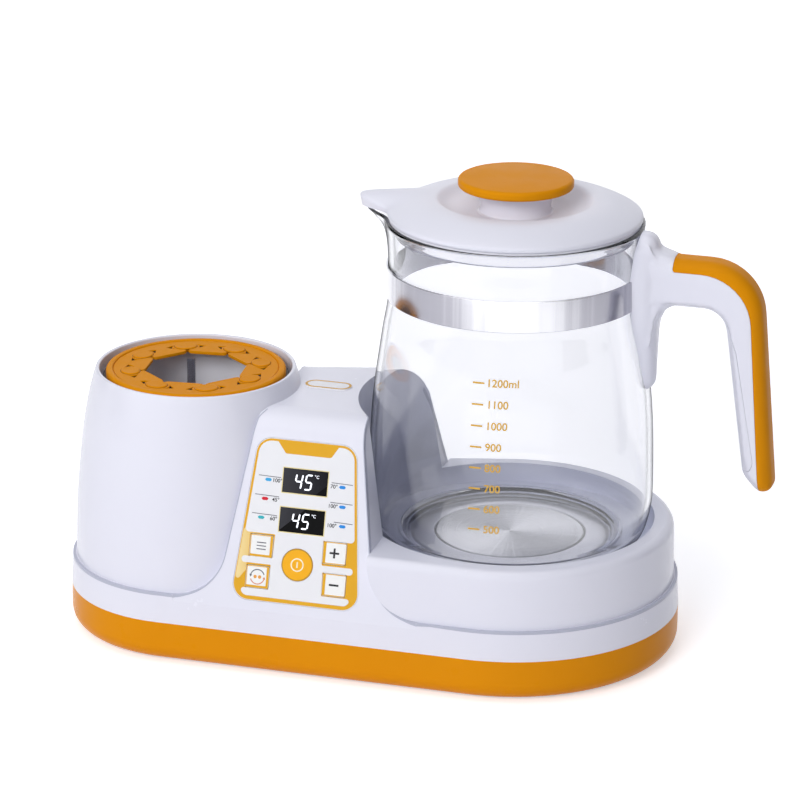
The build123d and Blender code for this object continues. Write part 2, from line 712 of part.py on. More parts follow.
def on_face(depth, spots, width, height, thickness, corner=0.0):
    """Blocks on the console face: their front at a depth, at spots given across and up."""
    with BuildPart(mode=Mode.PRIVATE) as blocks:
        with BuildSketch(behind_face(depth)):
            with Locations(*spots):
                if corner:
                    RectangleRounded(width, height, corner)
                else:
                    Rectangle(width, height)
        extrude(amount=-thickness)
    return blocks.part


def discs_on_face(depth, spots, radius, thickness):
    """Round blocks on the console face."""
    with BuildPart(mode=Mode.PRIVATE) as discs:
        with BuildSketch(behind_face(depth)):
            with Locations(*spots):
                Circle(radius)
        extrude(amount=-thickness)
    return discs.part


WINDOW_SPOTS = [(WINDOW_ACROSS, up) for up in WINDOW_UPS]
LENS_GAP = 0.1
GUIDE_L = 8.8

with BuildPart() as panel_overlay:
    extrude(panel_shape(0), amount=-PANEL_T)
    extrude(panel_openings(0), amount=-PANEL_T, mode=Mode.SUBTRACT)
save(panel_overlay.part, "panel_overlay")

with BuildPart() as display_windows:
    add(on_face(0, WINDOW_SPOTS, WINDOW_W - 2 * LENS_GAP, WINDOW_H - 2 * LENS_GAP, PANEL_T))
save(display_windows.part, "display_windows")

with BuildPart() as light_guides:
    add(on_face(0, LED_SPOTS, LED_W - LENS_GAP, LED_H - LENS_GAP, GUIDE_L))
save(light_guides.part, "light_guides")

KEY_PROUD = 0.2
KEY_CORNER_R = 0.8
FLANGE_DEPTH = 2.55       # keys are kept in by a flange behind the face's wall
FLANGE_T = 1.0
FLANGE_REACH = 0.9

for key_name, spot in KEY_SPOTS.items():
    with BuildPart() as key:
        add(on_face(-KEY_PROUD, [spot], KEY_W, KEY_H, KEY_DEPTH + KEY_PROUD, KEY_CORNER_R))
        add(on_face(FLANGE_DEPTH, [spot], KEY_W + 2 * FLANGE_REACH, KEY_H + 2 * FLANGE_REACH, FLANGE_T))
    save(key.part, key_name)

with BuildPart() as power_key:
    add(discs_on_face(-KEY_PROUD, [POWER_SPOT], POWER_R, KEY_DEPTH + KEY_PROUD))
    add(discs_on_face(FLANGE_DEPTH, [POWER_SPOT], POWER_R + FLANGE_REACH, FLANGE_T))
save(power_key.part, "power_key")

# Control board, carried on four posts behind the face, with what is soldered to it.
BOARD_HALF_LOW = 20.6
BOARD_HALF_HIGH = 18.4
BOARD_LOW = 0.4
BOARD_HIGH = 64.0
POST_SPOTS = [(-8.0, 2.8), (8.0, 2.8), (-8.0, 60.5), (8.0, 60.5)]
POST_R = 2.2
POST_SCREW_R = 1.0
ALL_KEYS = list(KEY_SPOTS.values()) + [POWER_SPOT]
SWITCH_W = 6.0
SWITCH_T = 3.8
STEM_R = 1.6
STEM_T = 0.9
BOARD_SCREW_L = 5.6
BOARD_SCREW_HEAD_R = 2.0
BOARD_SCREW_HEAD_T = 1.2
MODULE_GAP = 0.2
LED_T = 1.1
LED_CHIP_W = 3.2
LED_CHIP_H = 1.5

with BuildPart() as control_board:
    with BuildSketch(behind_face(BOARD_DEPTH)):
        with BuildLine():
            Polyline(
                (-BOARD_HALF_LOW, BOARD_LOW),
                (BOARD_HALF_LOW, BOARD_LOW),
                (BOARD_HALF_HIGH, BOARD_HIGH),
                (-BOARD_HALF_HIGH, BOARD_HIGH),
                close=True,
            )
        make_face()
        with Locations(*POST_SPOTS):
            Circle(POST_SCREW_R + SCREW_GAP, mode=Mode.SUBTRACT)
    extrude(amount=-BOARD_T)
save(control_board.part, "control_board")

with BuildPart() as board_posts:
    add(discs_on_face(WALL, POST_SPOTS, POST_R, BOARD_DEPTH - WALL))
    add(discs_on_face(WALL + FLANGE_T, POST_SPOTS, POST_SCREW_R, BOARD_DEPTH), mode=Mode.SUBTRACT)
save(board_posts.part, "board_posts")

with BuildPart() as board_screws:
    board_back_depth = BOARD_DEPTH + BOARD_T
    add(discs_on_face(board_back_depth - BOARD_SCREW_L, POST_SPOTS, POST_SCREW_R, BOARD_SCREW_L))
    add(discs_on_face(board_back_depth, POST_SPOTS, BOARD_SCREW_HEAD_R, BOARD_SCREW_HEAD_T))
save(board_screws.part, "board_screws")

with BuildPart() as display_modules:
    module_w = WINDOW_W - 2 * MODULE_GAP
    module_h = WINDOW_H - 2 * MODULE_GAP
    add(on_face(PANEL_T, WINDOW_SPOTS, module_w, module_h, BOARD_DEPTH - PANEL_T))
save(display_modules.part, "display_modules")

with BuildPart() as tact_switches:
    add(on_face(BOARD_DEPTH - SWITCH_T, ALL_KEYS, SWITCH_W, SWITCH_W, SWITCH_T))
    add(discs_on_face(BOARD_DEPTH - SWITCH_T - STEM_T, ALL_KEYS, STEM_R, STEM_T))
save(tact_switches.part, "tact_switches")

with BuildPart() as indicator_leds:
    add(on_face(BOARD_DEPTH - LED_T, LED_SPOTS, LED_CHIP_W, LED_CHIP_H, LED_T))
save(indicator_leds.part, "indicator_leds")

# Oval badge let into the deck.
BADGE_X = WX + 56.6
BADGE_Y = -7.0
BADGE_L = 21.0
BADGE_W = 9.6
BADGE_PROUD = 0.5
BADGE_EDGE_R = 0.4

with BuildPart() as deck_badge:
    with BuildSketch(Plane.XY.offset(DECK_Z)):
        with Locations((BADGE_X, BADGE_Y)):
            SlotOverall(BADGE_L, BADGE_W)
    extrude(amount=BADGE_PROUD)
    fillet(deck_badge.edges().group_by(Axis.Z)[-1], radius=BADGE_EDGE_R)
save(deck_badge.part, "deck_badge")

# ---------------------------------------------------------------------------
# Power board on the tray's floor, under the console.
# ---------------------------------------------------------------------------


# centre from the board's own, length, width, height and corner radius
TRANSFORMER = (-12.0, 10.0, 22.0, 20.0, 17.0, 1.5)
RELAYS = ((14.0, 12.0, 19.0, 15.5, 15.0, 0.8), (14.0, -6.0, 19.0, 15.5, 15.0, 0.8))
TERMINALS = (0.0, -24.0, 34.0, 9.0, 11.0, 0.6)
CAPACITOR_X = POWER_X - 12.0
CAPACITOR_Y = POWER_Y - 8.0
CAPACITOR_R = 5.0
CAPACITOR_H = 18.0
CAPACITOR_EDGE_R = 0.8


def on_power_board(x, y, length, width, height, corner):
    """A component standing on the power board."""
    with BuildPart(mode=Mode.PRIVATE) as block:
        with BuildSketch(Plane.XY.offset(POWER_Z + BOARD_T)):
            with Locations((POWER_X + x, POWER_Y + y)):
                RectangleRounded(length, width, corner)
        extrude(amount=height)
    return block.part


with BuildPart() as power_board:
    with BuildSketch(Plane.XY.offset(POWER_Z)):
        with Locations((POWER_X, POWER_Y)):
            Rectangle(POWER_L, POWER_W)
        with Locations(*POWER_POSTS):
            Circle(SCREW_R + SCREW_GAP, mode=Mode.SUBTRACT)
    extrude(amount=BOARD_T)
save(power_board.part, "power_board")

with BuildPart() as power_board_screws:
    with BuildSketch(Plane.XY.offset(FOOT_H + WALL + FLANGE_T)):
        with Locations(*POWER_POSTS):
            Circle(SCREW_R)
    extrude(amount=POWER_Z + BOARD_T - FOOT_H - WALL - FLANGE_T)
    with BuildSketch(Plane.XY.offset(POWER_Z + BOARD_T)):
        with Locations(*POWER_POSTS):
            Circle(HEAD_R)
    extrude(amount=HEAD_T)
save(power_board_screws.part, "power_board_screws")

with BuildPart() as transformer:
    add(on_power_board(*TRANSFORMER))
save(transformer.part, "transformer")

with BuildPart() as heater_relays:
    for relay in RELAYS:
        add(on_power_board(*relay))
save(heater_relays.part, "heater_relays")

with BuildPart() as smoothing_capacitor:
    can_low = POWER_Z + BOARD_T
    add(ring(0, CAPACITOR_R, can_low, can_low + CAPACITOR_H, CAPACITOR_X, CAPACITOR_Y))
    fillet(smoothing_capacitor.edges().group_by(Axis.Z)[-1], radius=CAPACITOR_EDGE_R)
save(smoothing_capacitor.part, "smoothing_capacitor")

with BuildPart() as terminal_block:
    add(on_power_board(*TERMINALS))
save(terminal_block.part, "terminal_block")

# Cord gland: a flanged bushing in the back of the skirt.
with BuildPart() as cord_gland:
    with BuildSketch(GLAND_PLANE):
        Circle(GLAND_FLANGE_R)
    extrude(amount=GLAND_FLANGE_T)
    with BuildSketch(GLAND_PLANE):
        Circle(GLAND_R)
    extrude(amount=-GLAND_DEPTH)
    with BuildSketch(GLAND_PLANE.offset(GLAND_FLANGE_T)):
        Circle(GLAND_BORE_R)
    extrude(amount=-GLAND_FLANGE_T - GLAND_DEPTH, mode=Mode.SUBTRACT)
save(cord_gland.part, "cord_gland")

# ---------------------------------------------------------------------------
# Kettle glass: a turned vessel that narrows to the neck, with a pulled spout.
# ---------------------------------------------------------------------------
HEEL_R = 50.0
BELLY_R = 61.3
BELLY_Z = 72.0
SHOULDER_R = 59.6
SHOULDER_Z = 114.0
NECK_R = 53.5
NECK_LOW_Z = 155.5
NECK_HIGH_Z = 172.5
LIP_R = 55.0
SPOUT_TIP_HALF = 3.6
SPOUT_TIP_THICKER = 1.3   # the glass is thicker at the spout's tip by this factor
# height, vessel radius and spout reach of each section of the spout
SPOUT_SECTIONS = ((172.5, 53.5, 54.8), (180.0, 54.1, 56.4), (186.0, 54.6, 59.6), (KETTLE_RIM_Z, 55.0, 66.0))
GLASS_FLOOR_T = 3.0


def kettle_form(inset, z_low):
    """The vessel's turned form, solid, drawn in by an inset."""
    with BuildPart(mode=Mode.PRIVATE) as solid:
        with BuildSketch(upright(KX, KY)):
            with BuildLine():
                Line((0, z_low), (HEEL_R - inset, z_low))
                Spline(
                    (HEEL_R - inset, z_low),
                    (BELLY_R - inset, BELLY_Z),
                    (SHOULDER_R - inset, SHOULDER_Z),
                    (NECK_R - inset, NECK_LOW_Z),
                    tangents=((1, 0), (0, 1)),
                )
                Line((NECK_R - inset, NECK_LOW_Z), (NECK_R - inset, NECK_HIGH_Z))
                Line((NECK_R - inset, NECK_HIGH_Z), (LIP_R - inset, KETTLE_RIM_Z))
                Polyline((LIP_R - inset, KETTLE_RIM_Z), (0, KETTLE_RIM_Z), (0, z_low))
            make_face()
        revolve(axis=Axis((KX, KY, 0), (0, 0, 1)))
    return solid.part


def spout_form(inset):
    """The spout as a loft of kite-like sections that grow towards the rim."""
    with BuildPart(mode=Mode.PRIVATE) as solid:
        for z, wall_r, tip in SPOUT_SECTIONS:
            wall = wall_r - inset
            reach = tip - inset * SPOUT_TIP_THICKER
            across = wall * (1 - (wall / reach) ** 2) ** 0.5
            half_tip = SPOUT_TIP_HALF * across / wall
            with BuildSketch(Plane.XY.offset(z)):
                with Locations((KX, KY)):
                    Polygon(
                        (-wall / 2, across),
                        (-wall * wall / reach, across),
                        (-reach, half_tip),
                        (-reach, -half_tip),
                        (-wall * wall / reach, -across),
                        (-wall / 2, -across),
                        align=None,
                    )
        loft(ruled=True)
    return solid.part


with BuildPart() as kettle_glass:
    add(kettle_form(0, PLATE_Z))
    add(spout_form(0))
    add(kettle_form(GLASS_T, PLATE_Z + GLASS_FLOOR_T), mode=Mode.SUBTRACT)
    add(spout_form(GLASS_T), mode=Mode.SUBTRACT)
save(kettle_glass.part, "kettle_glass")

# Polished steel band round the neck, closed by two lugs under the handle.
BAND_LOW_Z = 157.5
BAND_HIGH_Z = 170.9
BAND_IN_R = NECK_R + 0.1
BAND_T = 0.8
LUG_START = BAND_IN_R + 0.3
LUG_HOLE_HALF = 5.0
LUG_HOLE_R = 1.6
LUG_REACH = 60.6
LUG_T = 1.2
LUG_GAP = 1.0
LUG_LOW_Z = 160.0
LUG_HIGH_Z = 168.4
LUG_SCREW_X = 58.2
LUG_SCREW_R = 1.5
LUG_SCREW_Z = (LUG_LOW_Z + LUG_HIGH_Z) / 2


def box_at(x_low, x_high, y_low, y_high, z_low, z_high):
    """A plain block between limits, with x and y from the kettle's axis."""
    with BuildPart(mode=Mode.PRIVATE) as block:
        with BuildSketch(Plane.XY.offset(z_low)):
            with Locations((KX + (x_low + x_high) / 2, KY + (y_low + y_high) / 2)):
                Rectangle(x_high - x_low, y_high - y_low)
        extrude(amount=z_high - z_low)
    return block.part


def rod_across(x, z, y_low, y_high, radius):
    """A round bar along Y, with x and y from the kettle's axis."""
    with BuildPart(mode=Mode.PRIVATE) as rod:
        with BuildSketch(Plane(origin=(KX + x, KY + y_low, z), x_dir=(1, 0, 0), z_dir=(0, 1, 0))):
            Circle(radius)
        extrude(amount=y_high - y_low)
    return rod.part


with BuildPart() as neck_band:
    add(ring(BAND_IN_R, BAND_IN_R + BAND_T, BAND_LOW_Z, BAND_HIGH_Z, KX, KY))
    for side in (-1, 1):
        near = side * LUG_GAP
        far = side * (LUG_GAP + LUG_T)
        add(box_at(LUG_START, LUG_REACH, min(near, far), max(near, far), LUG_LOW_Z, LUG_HIGH_Z))
    add(rod_across(LUG_SCREW_X, LUG_SCREW_Z, -LUG_HOLE_HALF, LUG_HOLE_HALF, LUG_HOLE_R), mode=Mode.SUBTRACT)
save(neck_band.part, "neck_band")

# ---------------------------------------------------------------------------
# Handle: a blade that follows the glass, an arm and a leaning grip, parted
# into the white body, the orange outer inlay and the inner finger pad.
# ---------------------------------------------------------------------------
HANDLE_HALF_W = 9.0
ARM_TOP_Z = 180.7
ARM_LOW_Z = 160.0
ARM_START = 59.0
GRIP_BEND = 106.3
GRIP_TIP_Z = 82.0
GRIP_EDGE_R = 4.0
OUTER_BEND_R = 24.0
INNER_BEND_R = 9.0
TIP_R = 2.6
INNER_TIP_R = 8.0
INLAY_BEND_R = 20.0
PAD_CORNER_R = 2.0
BLADE_HALF_W = 11.0
BLADE_OUT = 62.6
BLADE_LOW_Z = 120.0
BLADE_HIGH_Z = 189.6
BLADE_TIP_R = 4.0
BLADE_TOP_R = 7.0
BLADE_WIDEST_Z = 164.0
BLADE_EDGE_R = 3.0
BLADE_START = 50.0        # inside the glass, cut back to its surface
GLASS_GAP = 0.2
CUT_HALF_W = 10.0         # cutters for the inlay and the pad reach past the flanks
SIDE_VIEW = Plane(origin=(KX, KY, 0), x_dir=(1, 0, 0), z_dir=(0, -1, 0))


def side_block(points, bends, half_width):
    """A block drawn in side view, its corners rounded by (across, height, radius)."""
    with BuildPart(mode=Mode.PRIVATE) as block:
        with BuildSketch(SIDE_VIEW) as side_view:
            with BuildLine():
                Polyline(*points, close=True)
            make_face()
            for across, height, radius in bends:
                fillet(side_view.vertices().sort_by_distance((across, height, 0))[0], radius=radius)
        extrude(amount=half_width, both=True)
    return block


# corners of the grip, the inlay and the pad in side view, and the radii of the rounded ones
GRIP_OUTLINE = [
    (ARM_START, ARM_TOP_Z),
    (GRIP_BEND, ARM_TOP_Z),
    (HANDLE_REACH, GRIP_TIP_Z),
    (108.6, 80.4),
    (101.4, 89.0),
    (91.6, ARM_LOW_Z),
    (ARM_START, ARM_LOW_Z),
]
GRIP_BENDS = [
    (*GRIP_OUTLINE[1], OUTER_BEND_R),
    (*GRIP_OUTLINE[5], INNER_BEND_R),
    (*GRIP_OUTLINE[4], INNER_TIP_R),
    (*GRIP_OUTLINE[2], TIP_R),
    (*GRIP_OUTLINE[3], TIP_R),
]
INLAY_OUTLINE = [(70.0, 190.0), (116.0, 190.0), (126.0, 75.0), (110.8, 75.0), (102.1, 176.1), (70.0, 176.1)]
INLAY_BENDS = [(*INLAY_OUTLINE[4], INLAY_BEND_R)]
PAD_OUTLINE = [(85.0, 150.0), (98.5, 150.0), (107.3, 92.0), (95.0, 92.0)]
PAD_BENDS = [(*PAD_OUTLINE[1], PAD_CORNER_R), (*PAD_OUTLINE[2], PAD_CORNER_R)]

grip_block = side_block(GRIP_OUTLINE, GRIP_BENDS, HANDLE_HALF_W)
with grip_block:
    flanks = grip_block.faces().sort_by(Axis.Y)
    fillet(flanks[0].edges() + flanks[-1].edges(), radius=GRIP_EDGE_R)

inlay_cut = side_block(INLAY_OUTLINE, INLAY_BENDS, CUT_HALF_W)
pad_cut = side_block(PAD_OUTLINE, PAD_BENDS, CUT_HALF_W)

with BuildPart(mode=Mode.PRIVATE) as blade:
    with BuildSketch(Plane(origin=(KX + BLADE_START, KY, 0), x_dir=(0, 1, 0), z_dir=(1, 0, 0))):
        with Locations((0, BLADE_LOW_Z + BLADE_TIP_R)):
            Circle(BLADE_TIP_R)
        with Locations((0, BLADE_WIDEST_Z)):
            Circle(BLADE_HALF_W)
        with Locations((0, BLADE_HIGH_Z - BLADE_TOP_R)):
            Circle(BLADE_TOP_R)
        make_hull()
    extrude(amount=BLADE_OUT - BLADE_START)
    fillet(blade.faces().sort_by(Axis.X)[-1].edges(), radius=BLADE_EDGE_R)

SCREW_HALF = 7.0          # lug screw: half its length, then its head
SCREW_HEAD_R = 3.0
SCREW_HEAD_OUT = 9.4
SCREW_SEAT_R = 3.2
LUG_POCKET_HALF = 2.6     # room in the blade round the band's lugs
LUG_POCKET_GAP = 0.6
LUG_POCKET_END = 61.0

with BuildPart() as handle_body:
    add(blade.part)
    add(grip_block.part)
    add(kettle_form(-GLASS_GAP, PLATE_Z), mode=Mode.SUBTRACT)
    band_room_r = BAND_IN_R + BAND_T + GLASS_GAP
    add(ring(0, band_room_r, BAND_LOW_Z - GLASS_GAP, BAND_HIGH_Z + GLASS_GAP, KX, KY), mode=Mode.SUBTRACT)
    add(inlay_cut.part, mode=Mode.SUBTRACT)
    add(pad_cut.part, mode=Mode.SUBTRACT)
    low = LUG_LOW_Z - LUG_POCKET_GAP
    high = LUG_HIGH_Z + LUG_POCKET_GAP
    lug_pocket = box_at(BLADE_START, LUG_POCKET_END, -LUG_POCKET_HALF, LUG_POCKET_HALF, low, high)
    add(lug_pocket, mode=Mode.SUBTRACT)
    add(rod_across(LUG_SCREW_X, LUG_SCREW_Z, -SCREW_HALF, 2 * SCREW_HALF, LUG_SCREW_R), mode=Mode.SUBTRACT)
    add(rod_across(LUG_SCREW_X, LUG_SCREW_Z, SCREW_HALF, 2 * SCREW_HALF, SCREW_SEAT_R), mode=Mode.SUBTRACT)
save(handle_body.part, "handle_body")

with BuildPart() as handle_inlay:
    add(grip_block.part)
    add(inlay_cut.part, mode=Mode.INTERSECT)
save(handle_inlay.part, "handle_inlay")

with BuildPart() as handle_pad:
    add(grip_block.part)
    add(pad_cut.part, mode=Mode.INTERSECT)
save(handle_pad.part, "handle_pad")

with BuildPart() as handle_screw:
    add(rod_across(LUG_SCREW_X, LUG_SCREW_Z, -SCREW_HALF, SCREW_HALF, LUG_SCREW_R))
    add(rod_across(LUG_SCREW_X, LUG_SCREW_Z, SCREW_HALF, SCREW_HEAD_OUT, SCREW_HEAD_R))
save(handle_screw.part, "handle_screw")

# ---------------------------------------------------------------------------
# Kettle lid: a dished plate with a cover over the spout, its collar and seal,
# and the knob on a flaring stem.
# ---------------------------------------------------------------------------
LID_LOW_Z = 191.4
LID_SKIN_T = 2.2
LID_CROWN_R = 47.0        # a point of the lid's top between its edge and the dish
LID_CROWN_Z = 196.3
LID_UNDER_Z = 193.8
DISH_R = 34.5
DISH_TOP_Z = 199.7
DISH_FLOOR_R = 18.0
DISH_FLOOR_Z = 196.0
COLLAR_IN_R = 48.9
COLLAR_R = 50.6
COLLAR_LOW_Z = 184.8
BEAK_TIP = 68.3
BEAK_TIP_R = 6.0
BEAK_TOP_Z = 195.8
BEAK_ROUND_R = 2.0
LID_BOSS_R = COLLAR_IN_R - LID_SKIN_T
dish_under = DISH_FLOOR_Z - LID_SKIN_T
lid_hollow = [
    (0, LID_LOW_Z),
    (LID_BOSS_R, LID_LOW_Z),
    (LID_BOSS_R, LID_UNDER_Z),
    (DISH_R, DISH_TOP_Z - LID_SKIN_T),
    (DISH_FLOOR_R, dish_under),
    (0, dish_under),
]

with BuildPart() as lid_plate:
    with BuildSketch(Plane.XY.offset(LID_LOW_Z)):
        with Locations((KX - BEAK_TIP + BEAK_TIP_R, KY)):
            Circle(BEAK_TIP_R)
        with Locations((KX, KY)):
            Circle(COLLAR_R)
        make_hull()
    extrude(amount=BEAK_TOP_Z - LID_LOW_Z)
    fillet(lid_plate.faces().sort_by(Axis.Z)[-1].edges(), radius=BEAK_ROUND_R)
    with BuildSketch(upright(KX, KY)):
        with BuildLine():
            edge = (LID_R, LID_EDGE_Z)
            dish = (DISH_R, DISH_TOP_Z)
            Polyline((0, LID_LOW_Z), (LID_R, LID_LOW_Z), edge)
            Spline(edge, (LID_CROWN_R, LID_CROWN_Z), dish, tangents=((-0.5, 1), (-1, 0.1)))
            Polyline(dish, (DISH_FLOOR_R, DISH_FLOOR_Z), (0, DISH_FLOOR_Z), (0, LID_LOW_Z))
        make_face()
    revolve(axis=Axis((KX, KY, 0), (0, 0, 1)))
    add(turned(lid_hollow, KX, KY), mode=Mode.SUBTRACT)
    add(ring(0, SCREW_R + SCREW_GAP, LID_LOW_Z, DISH_TOP_Z, KX, KY), mode=Mode.SUBTRACT)
save(lid_plate.part, "lid_plate")

with BuildPart() as lid_collar:
    add(ring(COLLAR_IN_R, COLLAR_R, COLLAR_LOW_Z, LID_LOW_Z, KX, KY))
save(lid_collar.part, "lid_collar")

LID_SEAL_IN_R = 50.9
LID_SEAL_R = 53.4
with BuildPart() as lid_seal:
    add(ring(LID_SEAL_IN_R, LID_SEAL_R, KETTLE_RIM_Z, LID_LOW_Z, KX, KY))
save(lid_seal.part, "lid_seal")

STEM_FOOT_R = 15.0
STEM_WAIST_R = 15.4
STEM_WAIST_Z = 200.0
STEM_TOP_R = 18.5
STEM_TOP_Z = 205.0
KNOB_LOW_Z = 204.4
KNOB_TOP_EDGE_R = 2.0
KNOB_LOW_EDGE_R = 1.6
SCREW_TOP_Z = 204.0

with BuildPart() as knob_stem:
    with BuildSketch(upright(KX, KY)):
        with BuildLine():
            Polyline((0, STEM_TOP_Z), (0, DISH_FLOOR_Z), (STEM_FOOT_R, DISH_FLOOR_Z))
            Spline(
                (STEM_FOOT_R, DISH_FLOOR_Z),
                (STEM_WAIST_R, STEM_WAIST_Z),
                (STEM_TOP_R, STEM_TOP_Z),
                tangents=((0, 1), (1, 1)),
            )
            Line((STEM_TOP_R, STEM_TOP_Z), (0, STEM_TOP_Z))
        make_face()
    revolve(axis=Axis((KX, KY, 0), (0, 0, 1)))
    add(ring(0, SCREW_R, DISH_FLOOR_Z, SCREW_TOP_Z, KX, KY), mode=Mode.SUBTRACT)
save(knob_stem.part, "knob_stem")

with BuildPart() as knob_cap:
    add(ring(0, KNOB_R, KNOB_LOW_Z, KNOB_Z, KX, KY))
    fillet(knob_cap.edges().group_by(Axis.Z)[-1], radius=KNOB_TOP_EDGE_R)
    fillet(knob_cap.edges().group_by(Axis.Z)[0], radius=KNOB_LOW_EDGE_R)
    add(ring(0, STEM_TOP_R, KNOB_LOW_Z, STEM_TOP_Z, KX, KY), mode=Mode.SUBTRACT)
save(knob_cap.part, "knob_cap")

with BuildPart() as lid_screw:
    add(ring(0, SCREW_R, dish_under, SCREW_TOP_Z, KX, KY))
    add(ring(0, HEAD_R, dish_under - HEAD_T, dish_under, KX, KY))
save(lid_screw.part, "lid_screw")

# Ribbon cable from the control board down to the power board.
RIBBON_W = 10.0
RIBBON_T = 0.8
RIBBON_UP = 8.0           # where it starts on the control board
RIBBON_LAP = 4.0          # how much of it lies on the board
RIBBON_END_Y = -38.5
RIBBON_END_LAP = 5.0
RIBBON_RISE = 3.0
ribbon_plane = behind_face(BOARD_DEPTH + BOARD_T + RIBBON_T / 2)
ribbon_start = ribbon_plane.from_local_coords((0, RIBBON_UP))
ribbon_low = ribbon_plane.from_local_coords((0, RIBBON_UP - RIBBON_LAP))
ribbon_end_z = POWER_Z + BOARD_T + RIBBON_T / 2

with BuildPart() as ribbon_cable:
    with BuildSketch(Plane.YZ.offset(CONSOLE_X)):
        with BuildLine():
            Polyline(
                (ribbon_start.Y, ribbon_start.Z),
                (ribbon_low.Y, ribbon_low.Z),
                (ribbon_low.Y + RIBBON_LAP, ribbon_low.Z - RIBBON_LAP),
                (RIBBON_END_Y - RIBBON_END_LAP - RIBBON_RISE, ribbon_end_z + RIBBON_RISE),
                (RIBBON_END_Y - RIBBON_END_LAP, ribbon_end_z),
                (RIBBON_END_Y, ribbon_end_z),
            )
        trace(line_width=RIBBON_T)
    extrude(amount=RIBBON_W / 2, both=True)
save(ribbon_cable.part, "ribbon_cable")
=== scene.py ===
# %% [markdown]
# A bottle warmer stands on a pale studio floor: a tapering tower that warms a feeding bottle, a
# tilted console with keys and two small displays, and a round cradle that heats a glass kettle.
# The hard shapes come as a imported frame.  The lesson dresses them: it loads the frame, mixes the
# materials, and then makes each finer piece where the frame says it belongs.

# %% Load the frame
import bmesh
import bpy
from math import acos, atan2, cos, exp, pi, radians, sin, sqrt, tan
from mathutils import Matrix, Vector
from mathutils.bvhtree import BVHTree


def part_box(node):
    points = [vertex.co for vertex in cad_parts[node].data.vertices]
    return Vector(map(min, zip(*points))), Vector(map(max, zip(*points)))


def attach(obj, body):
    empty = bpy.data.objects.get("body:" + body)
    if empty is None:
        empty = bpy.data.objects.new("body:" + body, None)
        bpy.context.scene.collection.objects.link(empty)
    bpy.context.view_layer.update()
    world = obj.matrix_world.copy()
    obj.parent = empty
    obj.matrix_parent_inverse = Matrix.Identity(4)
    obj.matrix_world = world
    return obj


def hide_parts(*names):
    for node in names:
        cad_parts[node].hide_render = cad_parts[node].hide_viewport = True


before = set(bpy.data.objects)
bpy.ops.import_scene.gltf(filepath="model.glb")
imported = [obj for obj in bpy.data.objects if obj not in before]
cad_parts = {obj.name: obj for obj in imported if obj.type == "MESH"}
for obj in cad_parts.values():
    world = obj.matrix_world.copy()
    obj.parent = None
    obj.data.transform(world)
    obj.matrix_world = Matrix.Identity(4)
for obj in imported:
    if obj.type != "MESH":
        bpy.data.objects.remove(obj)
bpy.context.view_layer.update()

MM = 0.001

# %% [markdown]
# Every new piece is placed from the frame's own boxes, so it follows if the frame changes.  The
# two upright axes come first: the bottle well's from its grip disc, the kettle's from its knob.

# %% Find the two axes and the console
def middle(node):
    """The middle of a node's box."""
    low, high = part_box(node)
    return (low + high) / 2


WELL = Vector((middle("grip_disc").x, middle("grip_disc").y))
KETTLE = Vector((middle("knob_cap").x, middle("knob_cap").y))
CONSOLE_X = middle("panel_overlay").x
LEDGE_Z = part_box("warmer_tower")[0].z
DECK_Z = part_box("housing")[1].z
print("well", tuple(WELL), "kettle", tuple(KETTLE), "console", round(CONSOLE_X, 4))

# %% [markdown]
# Mesh pieces share a few small helpers.  One makes a piece from points and faces, smooth with its
# sharp edges kept.  One turns a profile about an upright axis, as a lathe does, and one joins ring
# to ring.  One rounds the corners of an outline with true arcs, because real edges are never
# knife sharp.

# %% Helpers for mesh pieces
def linked(name, data):
    """A new object for some data, linked to the scene."""
    made = bpy.data.objects.new(name, data)
    bpy.context.collection.objects.link(made)
    return made


def piece_of(name, mesh, material, body=None):
    """A piece for a finished mesh in one material; it rides on a body if one is named."""
    mesh.materials.clear()
    mesh.materials.append(material)
    piece = linked(name, mesh)
    if body:
        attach(piece, body)
    return piece


def softened(mesh, sharp):
    """Shades a mesh smooth, except where faces meet at more than sharp degrees."""
    mesh.shade_smooth()
    mesh.set_sharp_from_angle(angle=radians(sharp))
    return mesh


def place(name, points, faces, material, body=None, sharp=35):
    """A piece from points in metres."""
    mesh = bpy.data.meshes.new(name)
    mesh.from_pydata(points, [], faces)
    work = bmesh.new()
    work.from_mesh(mesh)
    bmesh.ops.remove_doubles(work, verts=work.verts, dist=1e-6)
    bmesh.ops.recalc_face_normals(work, faces=work.faces)
    work.to_mesh(mesh)
    work.free()
    return piece_of(name, softened(mesh, sharp), material, body)


def tube(rings, count, first=0, capped=True):
    """Faces between successive rings of count points, and one over each end."""
    faces = []
    for ring in range(rings - 1):
        for k in range(count):
            a, b = first + ring * count + k, first + ring * count + (k + 1) % count
            faces.append((a, b, b + count, a + count))
    if capped:
        last = first + (rings - 1) * count
        faces += [tuple(range(first, first + count)), tuple(range(last, last + count))]
    return faces


def rounded(outline, radii, steps=6):
    """The closed outline's points with each corner turned into an arc of its radius."""
    if not isinstance(radii, (list, tuple)):
        radii = [radii] * len(outline)
    result = []
    for i, (corner, radius) in enumerate(zip(outline, radii)):
        here = Vector(corner)
        before = (Vector(outline[i - 1]) - here).normalized()
        after = (Vector(outline[(i + 1) % len(outline)]) - here).normalized()
        half = acos(max(-1, min(1, before.dot(after)))) / 2
        if radius <= 0 or half > radians(89):
            result.append(tuple(here))
            continue
        centre = here + (before + after).normalized() * radius / sin(half)
        start = here + before * radius / tan(half) - centre
        stop = here + after * radius / tan(half) - centre
        turn = atan2(start.x * stop.y - start.y * stop.x, start.dot(stop))
        for k in range(steps + 1):
            angle = turn * k / steps
            result.append((centre.x + start.x * cos(angle) - start.y * sin(angle),
                           centre.y + start.x * sin(angle) + start.y * cos(angle)))
    return result


